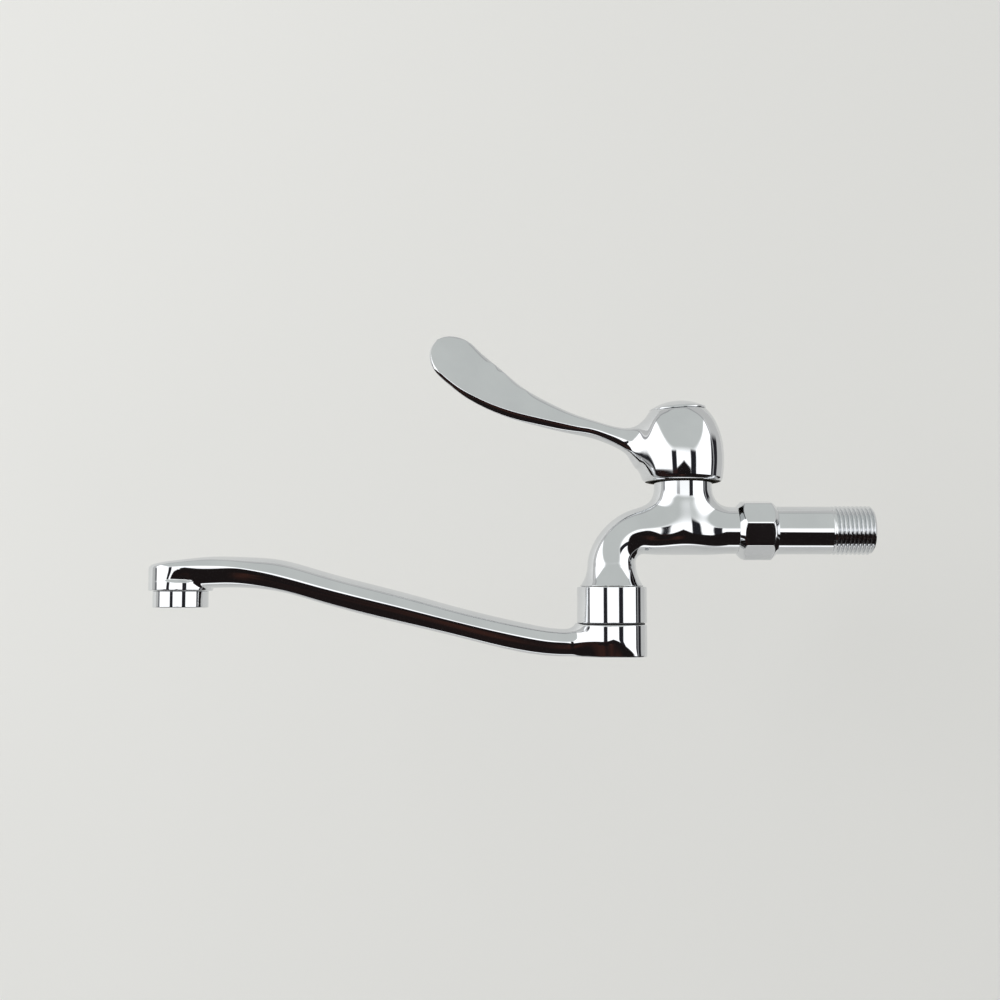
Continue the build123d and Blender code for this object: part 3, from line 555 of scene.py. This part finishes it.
def spout_tube_grid(columns=48):
    """Rings across the tube: an ellipse above and leaning sides below, as a rough start."""
    turn = np.linspace(0, 2 * math.pi, columns, endpoint=False)
    chosen = np.arange(30, 390, 5)
    spine, half_width, rise, drop = (column[chosen, None] for column in spout_sizes.T)
    below = np.sin(turn) < 0
    power = np.where(below, 0.45, 1.0)
    y = half_width * np.sign(np.cos(turn)) * np.abs(np.cos(turn)) ** power
    depth = np.where(below, -drop * np.abs(np.sin(turn)) ** power, rise * np.sin(turn))
    y = y - np.sign(y) * np.minimum(np.abs(y), np.where(below, -depth * 0.445, 0))
    x = np.broadcast_to(outlet_x - spout_places[chosen][:, None], y.shape)
    return np.stack([x, y, spine + depth], axis=-1)


rough_head = head_radius - 0.3
head_outline = np.array([(rough_head, head_bottom), (rough_head, -16.5), (head_radius - 3, -13.5)])
base_outline = np.array([(base_radius, base_bottom), (base_radius, base_top)])
head_grid = turned_grid(head_outline, head_x, columns=96)
base_grid = turned_grid(base_outline, outlet_x, columns=96)
spout_grids = [spout_tube_grid(), head_grid, base_grid]
spout_tube = blended_piece("spout_tube", spout_grids, spout_field, even_face, "spout_group")
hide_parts("spout")

# %% [markdown]
# The aerator ring screws into the head. Its outside is plain and its lower edge is chamfered.

# %% Aerator ring
ring_radius = (aerator_high[0] - aerator_low[0]) / 2
ring_top = head_bottom - 0.05
lip_top = aerator_low[2] + 1.2
aerator = turned_ring(
    "aerator_shell",
    [(9.6, -26.5), (9.6, lip_top), (8.4, lip_top), (8.4, aerator_low[2]),
     (ring_radius, aerator_low[2]), (ring_radius, ring_top), (10.5, ring_top), (10.5, -26.5)],
    [0, 0, 0.2, 0.3, 0.4, 0.3, 0, 0],
    head_x,
    "spout_group",
)
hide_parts("aerator_ring")

# %% [markdown]
# The handle is a hollow dome that leans a little towards its lever. The lever leaves the dome with
# a wide root, thins to a round stem and widens to a blade that is rolled about its own length, so
# that one edge is nearer to the viewer.

# %% Handle
lean = math.radians(3.6)
dome_height = 31.2
cavity_radius = 14.6
dome_places = np.array([-1.0, 0.0, 5.5, 11.0, 16.0, 23.0, 27.8, 31.2, 34.0])
dome_radii = np.array([[17.0], [17.1], [18.0], [18.4], [18.25], [16.8], [14.75], [12.3], [9.8]])
dome_steps = np.linspace(-1.0, 34.0, 300)
dome_curve = smooth_curve(dome_places, dome_radii, dome_steps)[:, 0]

lever_stations = np.array([
    (9.5, 37.0, 26.0, 20.0, 0.0),
    (16.7, 36.8, 19.0, 15.5, 0.0),
    (21.2, 38.3, 13.5, 11.5, 2.0),
    (25.6, 39.6, 9.8, 9.4, 5.0),
    (30.5, 41.1, 7.9, 8.6, 10.0),
    (37.5, 43.4, 7.2, 7.8, 20.0),
    (48.5, 46.4, 9.0, 6.6, 30.0),
    (60.8, 50.7, 12.9, 5.6, 34.0),
    (73.4, 56.1, 18.2, 4.6, 35.0),
    (84.6, 63.1, 23.4, 3.8, 35.0),
    (93.1, 69.5, 24.8, 3.4, 34.0),
    (99.2, 75.3, 24.8, 3.1, 33.0),
    (106.1, 82.65, 24.8, 2.9, 33.0),
])
blade_end_length = 12.6
lever_gaps = np.hypot(*np.diff(lever_stations[:, :2], axis=0).T)
lever_places = np.concatenate([[0], np.cumsum(lever_gaps)])
lever_steps = np.linspace(0, lever_places[-1], 600)
lever_curve = smooth_curve(lever_places, lever_stations, lever_steps)
lever_length = lever_places[-1]
facet_turn = math.radians(60.0)


def lever_at(steps):
    """Centre, direction across, direction through and half sizes of the lever at places along it."""
    sizes = (np.interp(steps, lever_steps, column) for column in lever_curve.T)
    reach, height, width, thickness, roll = sizes
    slope = np.gradient(lever_curve[:, :2], lever_steps, axis=0)
    run, climb = (np.interp(steps, lever_steps, column) for column in slope.T)
    size = np.hypot(run, climb)
    along = np.stack([-run / size, 0 * run, climb / size], axis=-1)
    up = np.stack([climb / size, 0 * run, run / size], axis=-1)
    roll = np.radians(roll)[:, None]
    sideways = np.array([0.0, 1.0, 0.0])
    across = up * np.cos(roll) + sideways * np.sin(roll)
    through = up * np.sin(roll) - sideways * np.cos(roll)
    to_end = np.clip((steps - lever_length + blade_end_length) / blade_end_length, 0, 1)
    narrowing = np.sqrt(np.maximum(1 - to_end**2, 0.003))
    centre = np.stack([valve_x - reach, 0 * reach, height], axis=-1)
    return centre, along, across, through, width / 2 * narrowing, thickness / 2 * (1 - 0.35 * to_end**2)


def section_power(steps):
    """Power of the section's ellipse: near 2 and round at the root, over 4 and boxy at the blade."""
    return 2.3 + 2.1 * smooth_step(steps, 30, 70)


def lever_grid(columns=64):
    """Rings of an ellipse-like section along the lever, with the blade's end drawn in round."""
    turn = np.linspace(0, 2 * math.pi, columns, endpoint=False)
    end = lever_length - blade_end_length * (1 - np.sin(np.linspace(0, math.pi / 2, 24)))
    steps = np.concatenate([np.linspace(7.5, lever_length - blade_end_length, 90)[:-1], end])
    centre, _, across, through, half_width, half_thickness = lever_at(steps)
    bend = 2 / section_power(steps)[:, None]
    a = half_width[:, None] * np.sign(np.cos(turn)) * np.abs(np.cos(turn)) ** bend
    b = half_thickness[:, None] * np.sign(np.sin(turn)) * np.abs(np.sin(turn)) ** bend
    return centre[:, None] + a[..., None] * across[:, None] + b[..., None] * through[:, None]


def lever_field(points):
    """How far a point is outside the lever's section at the nearest place along its centre line.

    The section is an ellipse at the root and boxier at the blade. Its lower front corner is cut by a
    facet that faces down, which mirrors as a dark stripe along the lever.
    """
    reach = valve_x - points[:, 0]
    steps = np.interp(reach, lever_curve[:, 0], lever_steps)
    for _ in range(3):
        centre, along, across, through, half_width, half_thickness = lever_at(steps)
        steps = np.clip(steps + ((points - centre) * along).sum(axis=1), 0, lever_length)
    centre, along, across, through, half_width, half_thickness = lever_at(steps)
    offset = points - centre
    a = np.abs((offset * across).sum(axis=1)) / half_width
    b = np.abs((offset * through).sum(axis=1)) / half_thickness
    power = section_power(steps)
    section = ((a**power + b**power) ** (1 / power) - 1) * np.minimum(half_width, half_thickness)
    down, front = -(offset * across).sum(axis=1), (offset * through).sum(axis=1)
    depth = 1.35 * smooth_step(steps, 16, 46) * (1 - 0.75 * smooth_step(steps, 66, 108))
    past_edge, past_face = down - half_width, front - half_thickness
    facet = past_edge * math.sin(facet_turn) + past_face * math.cos(facet_turn) + depth
    section = soft_most(section, np.where(down > 0, facet, -9), 0.5)
    beyond = np.abs((offset * along).sum(axis=1))
    return np.where(section > 0, np.hypot(section, beyond), section + beyond)


def handle_field(points):
    """Soft union of dome and lever, less the hollow that the neck and the headwork stand in."""
    x, y, z = points.T
    side = (x - valve_x) * math.cos(lean) + (z - dome_rim_height) * math.sin(lean)
    height = -(x - valve_x) * math.sin(lean) + (z - dome_rim_height) * math.cos(lean)
    from_axis = np.hypot(side, y)
    dome = from_axis - np.interp(height, dome_steps, dome_curve)
    dome = soft_most(dome, height - dome_height, 0.8)
    whole = soft_least(dome, lever_field(points), 6.0)
    whole = soft_most(whole, dome_rim_height - z, 2.4)
    hollow = soft_most(np.hypot(x - valve_x, y) - cavity_radius, z - 40.0, 2.0)
    return soft_most(whole, -hollow, 0.5)


dome_heights = np.array([0.0, 0.0, 4, 8, 12, 16, 20, 24, 28, dome_height])
dome_outline = np.stack([np.interp(dome_heights, dome_steps, dome_curve), dome_heights], axis=-1)
inner_outline = np.array([(cavity_radius, 20.0), (cavity_radius, 0.0)])
dome_shell = np.vstack([[(0.5, 19.3)], [(cavity_radius, 19.3)], inner_outline[1:], dome_outline[1:]])
dome_grid = turned_grid(dome_shell, valve_x, dome_rim_height, lean, columns=96)
handle = blended_piece("handle_casting", [dome_grid, lever_grid()], handle_field, 0.41, "handle_group")
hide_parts("handle")
# Faces in the hollow under the dome get a dark finish: partly the unplated inside of the casting, partly
# painted shade for the shadow under the rim and round the neck.
face_middle = np.empty(len(handle.data.polygons) * 3)
handle.data.polygons.foreach_get("center", face_middle)
face_middle = face_middle.reshape(-1, 3) / MM
from_neck = np.hypot(face_middle[:, 0] - valve_x, face_middle[:, 1])
hollow_top = 41.0
hollow_reach = np.where(face_middle[:, 2] < dome_rim_height + 0.4, 16.2, cavity_radius + 0.3)
in_hollow = (face_middle[:, 2] < hollow_top) & (from_neck < hollow_reach)
handle.data.polygons.foreach_set("material_index", in_hollow.astype(int))

# %% [markdown]
# The cap is a shallow lens with a thin upright edge, square to the dome's leaning axis.

# %% Handle cap
cap_radius = 12.15
cap_edge = 0.9
cap_crown = 3.4
crown_radius = (cap_radius**2 + cap_crown**2) / (2 * cap_crown)
spread = np.linspace(0.01, 1, 24) * cap_radius
crown_height = cap_edge + cap_crown - crown_radius + np.sqrt(crown_radius**2 - spread**2)
lens = np.stack([spread, crown_height], axis=-1)
rim = rounded_outline([(cap_radius, cap_edge), (cap_radius, 0.0), (cap_radius - 2, 0.0)], [0, 0.2, 0])
cap_outline = np.vstack([lens[:-1], rim, [(0.01, 0.0)]])
cap_outline[:, 1] += dome_height + 0.02
cap_grid = turned_grid(cap_outline, valve_x, dome_rim_height, lean)
handle_cap = new_piece("cap_lens", *closed_grid(cap_grid), "handle_group")
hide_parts("handle_cap")

# %% [markdown]
# ## Finishes
# A small function adds a node with its settings and links. Colours are written as sRGB hex values
# and turned to linear light by one function.

# %% Node helper and colours


def linear(colour):
    """sRGB hex colour as linear red, green, blue and alpha."""
    values = np.array([int(colour[i : i + 2], 16) for i in (1, 3, 5)]) / 255
    light = np.where(values <= 0.04045, values / 12.92, ((values + 0.055) / 1.055) ** 2.4)
    return (*light.tolist(), 1.0)


def add(tree, kind, settings=None, inputs=None, links=None):
    """Adds a node: settings are its properties, inputs its socket values, links its sources."""
    node = tree.nodes.new(kind)
    for key, value in (settings or {}).items():
        setattr(node, key, value)
    for key, value in (inputs or {}).items():
        node.inputs[key].default_value = value
    for key, source in (links or {}).items():
        tree.links.new(source, node.inputs[key])
    return node


def noise(tree, place, size_mm, detail):
    """Noise whose features are about this many millimetres."""
    inputs = {"Scale": 1 / (size_mm * MM), "Detail": detail}
    return add(tree, "ShaderNodeTexNoise", inputs=inputs, links={"Vector": place})


def new_material(name):
    """Empty material with its output node."""
    material = bpy.data.materials.new(name)
    material.use_nodes = True
    material.node_tree.nodes.clear()
    return material, material.node_tree


# %% [markdown]
# Bright chrome on brass is nearly a mirror. Its plating follows the polished casting, which waves
# very slightly, and handling leaves faint patches that are a little less sharp.

# %% Bright chrome


def patterned_metal(name, light, dark, patch_mm, roughness, wave_mm, wave_height):
    """Metal whose colour and roughness vary in soft patches and whose face waves slightly."""
    material, tree = new_material(name)
    place = add(tree, "ShaderNodeTexCoord").outputs["Object"]
    patches = noise(tree, place, patch_mm, 3.0)
    colour = add(tree, "ShaderNodeMix", {"data_type": "RGBA"}, links={"Factor": patches.outputs["Fac"]})
    colour.inputs["A"].default_value = linear(light)
    colour.inputs["B"].default_value = linear(dark)
    rough = add(
        tree, "ShaderNodeMapRange", inputs={"To Min": roughness[0], "To Max": roughness[1]},
        links={"Value": patches.outputs["Fac"]},
    )
    waves = noise(tree, place, wave_mm, 1.0)
    bump = add(
        tree, "ShaderNodeBump", inputs={"Strength": 1.0, "Distance": wave_height * MM},
        links={"Height": waves.outputs["Fac"]},
    )
    shader = add(
        tree, "ShaderNodeBsdfPrincipled", inputs={"Metallic": 1.0},
        links={"Base Color": colour.outputs["Result"], "Roughness": rough.outputs["Result"],
               "Normal": bump.outputs["Normal"]},
    )
    add(tree, "ShaderNodeOutputMaterial", links={"Surface": shader.outputs["BSDF"]})
    return material


bright_chrome = patterned_metal("bright_chrome", "#E4E6E8", "#D6D8DB", 14.0, (0.03, 0.06), 9.0, 0.012)
machined_brass = patterned_metal("machined_brass", "#D9B36A", "#B98F48", 3.0, (0.22, 0.38), 1.2, 0.02)
# Dark finish for the dome's hollow: partly unplated casting, partly painted shade where the dome shadows the
# neck.
hollow_casting_and_shade = patterned_metal("hollow_casting_and_shade", "#4A4438", "#2B2823", 2.0, (0.55, 0.75), 0.6, 0.05)
rolled_steel = patterned_metal("rolled_steel", "#B9BCC0", "#9A9DA1", 2.5, (0.2, 0.35), 0.8, 0.01)

# %% Rubber, ceramic and plastics


def patterned_solid(name, light, dark, patch_mm, roughness, grain_mm, grain_height):
    """Opaque solid whose colour varies in patches and whose face has a fine grain."""
    material, tree = new_material(name)
    place = add(tree, "ShaderNodeTexCoord").outputs["Object"]
    patches = noise(tree, place, patch_mm, 4.0)
    colour = add(tree, "ShaderNodeMix", {"data_type": "RGBA"}, links={"Factor": patches.outputs["Fac"]})
    colour.inputs["A"].default_value = linear(light)
    colour.inputs["B"].default_value = linear(dark)
    grain = noise(tree, place, grain_mm, 2.0)
    rough = add(
        tree, "ShaderNodeMapRange", inputs={"To Min": roughness[0], "To Max": roughness[1]},
        links={"Value": grain.outputs["Fac"]},
    )
    bump = add(
        tree, "ShaderNodeBump", inputs={"Strength": 1.0, "Distance": grain_height * MM},
        links={"Height": grain.outputs["Fac"]},
    )
    shader = add(
        tree, "ShaderNodeBsdfPrincipled",
        links={"Base Color": colour.outputs["Result"], "Roughness": rough.outputs["Result"],
               "Normal": bump.outputs["Normal"]},
    )
    add(tree, "ShaderNodeOutputMaterial", links={"Surface": shader.outputs["BSDF"]})
    return material


black_rubber = patterned_solid("nitrile_rubber", "#232323", "#151515", 2.0, (0.55, 0.75), 0.3, 0.02)
lapped_ceramic = patterned_solid("lapped_ceramic", "#F2F1EC", "#E6E4DC", 2.0, (0.15, 0.25), 0.4, 0.005)
white_plastic = patterned_solid("acetal_plastic", "#E9E8E3", "#DAD9D2", 3.0, (0.35, 0.5), 0.5, 0.01)
black_plastic = patterned_solid("nylon_plastic", "#262626", "#1A1A1A", 2.0, (0.4, 0.55), 0.5, 0.01)

# %% Give every piece its finish
finishes = {
    "chrome": bright_chrome,
    "brass": machined_brass,
    "steel": rolled_steel,
    "rubber": black_rubber,
    "ceramic": lapped_ceramic,
    "plastic_white": white_plastic,
    "plastic_black": black_plastic,
}
for part in frame["record"]["subparts"]:
    node = frame["nodes"][part["node"]]
    node.data.materials.clear()
    node.data.materials.append(finishes[part["material_slot"]])
for piece in (valve_casting, collar, inlet_pipe, swivel_nut, spout_tube, aerator, handle, handle_cap):
    piece.data.materials.append(bright_chrome)
# The hollow's faces get the dark finish, which is partly painted shade.
handle.data.materials.append(hollow_casting_and_shade)

# %% [markdown]
# ## Stage
# In the photograph the tap lies on a pale table and the camera looks down on it. Here the table is
# an upright board. It stands far enough behind the tap for the spout to swing in front of it, and
# it is seen from the front only, so that views from behind show the tap.

# %% Board behind the tap
camera_place = np.array([-0.1596, -0.575, -0.0298])
board_y = 0.205
board_left, board_right, board_half = -1.0, 0.16, 0.85
board_corners = np.array([
    [board_left, board_y, -board_half],
    [board_right, board_y, -board_half],
    [board_right, board_y, board_half],
    [board_left, board_y, board_half],
])
board_mesh = bpy.data.meshes.new("board")
board_mesh.from_pydata(board_corners.tolist(), [], [[0, 1, 2, 3]])
board = bpy.data.objects.new("board", board_mesh)
bpy.context.scene.collection.objects.link(board)
board_material, tree = new_material("painted_board")
place = add(tree, "ShaderNodeTexCoord").outputs["Object"]
cloud = noise(tree, place, 400.0, 2.0)
tone = add(tree, "ShaderNodeMix", {"data_type": "RGBA"}, links={"Factor": cloud.outputs["Fac"]})
tone.inputs["A"].default_value = linear("#EFEFED")
tone.inputs["B"].default_value = linear("#EAEAE8")
paint = add(
    tree, "ShaderNodeBsdfPrincipled", inputs={"Roughness": 0.45},
    links={"Base Color": tone.outputs["Result"]},
).outputs["BSDF"]
clear = add(tree, "ShaderNodeBsdfTransparent").outputs["BSDF"]
facing = add(tree, "ShaderNodeNewGeometry").outputs["Backfacing"]
one_sided = add(tree, "ShaderNodeMixShader", links={0: facing, 1: paint, 2: clear})
add(tree, "ShaderNodeOutputMaterial", links={"Surface": one_sided.outputs["Shader"]})
board_mesh.materials.append(board_material)

# %% [markdown]
# The light comes from the room round the table. Chrome is a mirror, so what it reflects is painted
# by direction: a bright wall all round at table height with dark window frames, a grey ceiling over
# it, a large dark shape below and the dark line of the table's far edge. A direction
# is read as its angle from straight out of the board, split into right and up. The board itself is lit
# evenly, with one soft lamp from the upper left.

# %% Room round the tap
world = bpy.data.worlds.new("room")
bpy.context.scene.world = world
world.use_nodes = True
tree = world.node_tree
tree.nodes.clear()
view = add(tree, "ShaderNodeTexCoord").outputs["Generated"]
direction = add(tree, "ShaderNodeSeparateXYZ", links={"Vector": view})


def calc(operation, a, b=None, c=None):
    """Math node on numbers or node outputs."""
    node = tree.nodes.new("ShaderNodeMath")
    node.operation = operation
    for socket, value in zip(node.inputs, (a, b, c)):
        if isinstance(value, (int, float)):
            socket.default_value = value
        elif value is not None:
            tree.links.new(value, socket)
    return node.outputs[0]


dx, dy, dz = direction.outputs["X"], direction.outputs["Y"], direction.outputs["Z"]
from_front = calc("MULTIPLY", calc("ARCCOSINE", calc("MULTIPLY", dy, -1.0)), 180 / math.pi)
squares = calc("ADD", calc("MULTIPLY", dx, dx), calc("MULTIPLY", dz, dz))
sideways = calc("MAXIMUM", calc("SQRT", squares), 0.0001)
right = calc("MULTIPLY", from_front, calc("DIVIDE", dx, sideways))
above = calc("MULTIPLY", from_front, calc("DIVIDE", dz, sideways))


def ramp(value, start, end, first=0.0, last=1.0):
    """Smooth change from first to last while the value goes from start to end."""
    inputs = {"From Min": start, "From Max": end, "To Min": first, "To Max": last}
    node = add(tree, "ShaderNodeMapRange", {"interpolation_type": "SMOOTHSTEP"}, inputs, {"Value": value})
    return node.outputs["Result"]


def band(value, start, end, soft):
    """1 between start and end, 0 outside, with edges this many degrees soft."""
    rise = ramp(value, start - soft, start + soft)
    return calc("MULTIPLY", rise, ramp(value, end - soft, end + soft, 1.0, 0.0))


def paint_over(below, colour, mask):
    """Covers the colour so far with a new one where the mask is 1."""
    mix = add(tree, "ShaderNodeMix", {"data_type": "RGBA"}, links={"Factor": mask, "A": below})
    mix.inputs["B"].default_value = colour
    return mix.outputs["Result"]


white = (1.6, 1.6, 1.6, 1)
painted_board_reflection = (0.62, 0.62, 0.605, 1)
frame_colour = (0.02, 0.02, 0.024, 1)
dark_shape = (0.012, 0.009, 0.009, 1)
warm_brown = (0.05, 0.02, 0.015, 1)
table_edge = (0.42, 0.42, 0.42, 1)
# Each window frame: from and to on the right, lowest and highest above and the softness of its ends.
window_frames = [
    (18, 33, -40, 7, 1.5),
    (-32, -19, -40, 5, 1.5),
    (80, 104, -70, 34, 8),
    (-92, -82, -70, 10, 8),
]
ceiling = add(tree, "ShaderNodeRGB")
ceiling.outputs[0].default_value = linear("#D2D5D2")
room = ceiling.outputs[0]
side = calc("MAXIMUM", calc("SUBTRACT", calc("ABSOLUTE", right), 22.0), 0.0)
wall_height = calc("ADD", 4.5, calc("MULTIPLY", calc("MULTIPLY", side, side), 0.024))
under_wall_top = ramp(calc("SUBTRACT", above, wall_height), -3.0, 6.0, 1.0, 0.0)
room = paint_over(room, white, calc("MULTIPLY", under_wall_top, ramp(from_front, 112, 96)))
# Directions into the board get the board's tone, a little darker than the lit board: a painted reflection of
# the table with painted shade near the tap.
room = paint_over(room, painted_board_reflection, ramp(from_front, 90, 93))
for start, end, lowest, highest, softness in window_frames:
    frame_mask = calc("MULTIPLY", band(right, start, end, 1.5), band(above, lowest, highest, softness))
    room = paint_over(room, frame_colour, frame_mask)
cloudy = add(tree, "ShaderNodeTexNoise", inputs={"Scale": 1.8, "Detail": 2.0}, links={"Vector": view})
warm_side = calc("MULTIPLY", ramp(above, -52, -40), ramp(right, 8, -8))
warm_patches = calc("MULTIPLY", ramp(cloudy.outputs["Fac"], 0.4, 0.65), warm_side)
tint = add(tree, "ShaderNodeMix", {"data_type": "RGBA"}, links={"Factor": warm_patches})
tint.inputs["A"].default_value = dark_shape
tint.inputs["B"].default_value = warm_brown
low_shape = add(tree, "ShaderNodeMix", {"data_type": "RGBA"}, links={"A": room, "B": tint.outputs["Result"]})
roof = calc("MAXIMUM", calc("SUBTRACT", 1.0, calc("DIVIDE", calc("ABSOLUTE", right), 24.0)), 0.0)
shape_top = calc("ADD", -17.0, calc("MULTIPLY", 14.0, roof))
under_top = ramp(calc("SUBTRACT", above, shape_top), -2.0, 2.0, 1.0, 0.0)
tree.links.new(calc("MULTIPLY", under_top, ramp(above, -82, -76)), low_shape.inputs["Factor"])
room = low_shape.outputs["Result"]
room = paint_over(room, table_edge, band(from_front, 87.5, 91, 1))
backdrop = add(tree, "ShaderNodeBackground", links={"Color": room}).outputs["Background"]
plain = add(
    tree, "ShaderNodeBackground", inputs={"Color": linear("#E6E6E4"), "Strength": 0.9}
).outputs["Background"]
is_glossy = add(tree, "ShaderNodeLightPath").outputs["Is Glossy Ray"]
either = add(tree, "ShaderNodeMixShader", links={0: is_glossy, 1: plain, 2: backdrop})
add(tree, "ShaderNodeOutputWorld", links={"Surface": either.outputs["Shader"]})

# %% Soft lamp
lamp_data = bpy.data.lights.new("soft_lamp", "AREA")
lamp_data.shape = "DISK"
lamp_data.size = 1.2
lamp_data.energy = 8.5
lamp = bpy.data.objects.new("soft_lamp", lamp_data)
lamp.location = (-1.35, -1.1, 0.5)
aim = mathutils.Vector((-0.25, board_y, 0.0)) - lamp.location
lamp.rotation_euler = aim.to_track_quat("-Z", "Y").to_euler()
lamp.visible_glossy = False
bpy.context.scene.collection.objects.link(lamp)

# %% Camera
camera_data = bpy.data.cameras.new("camera")
camera_data.lens = 48.19
camera_data.sensor_width = 36.0
camera_data.clip_start = 0.01
camera = bpy.data.objects.new("camera", camera_data)
camera.location = camera_place.tolist()
camera.rotation_euler = (math.radians(90 + 4.272), 0, 0)
bpy.context.scene.collection.objects.link(camera)
bpy.context.scene.camera = camera
bpy.context.scene.view_settings.view_transform = "Standard"
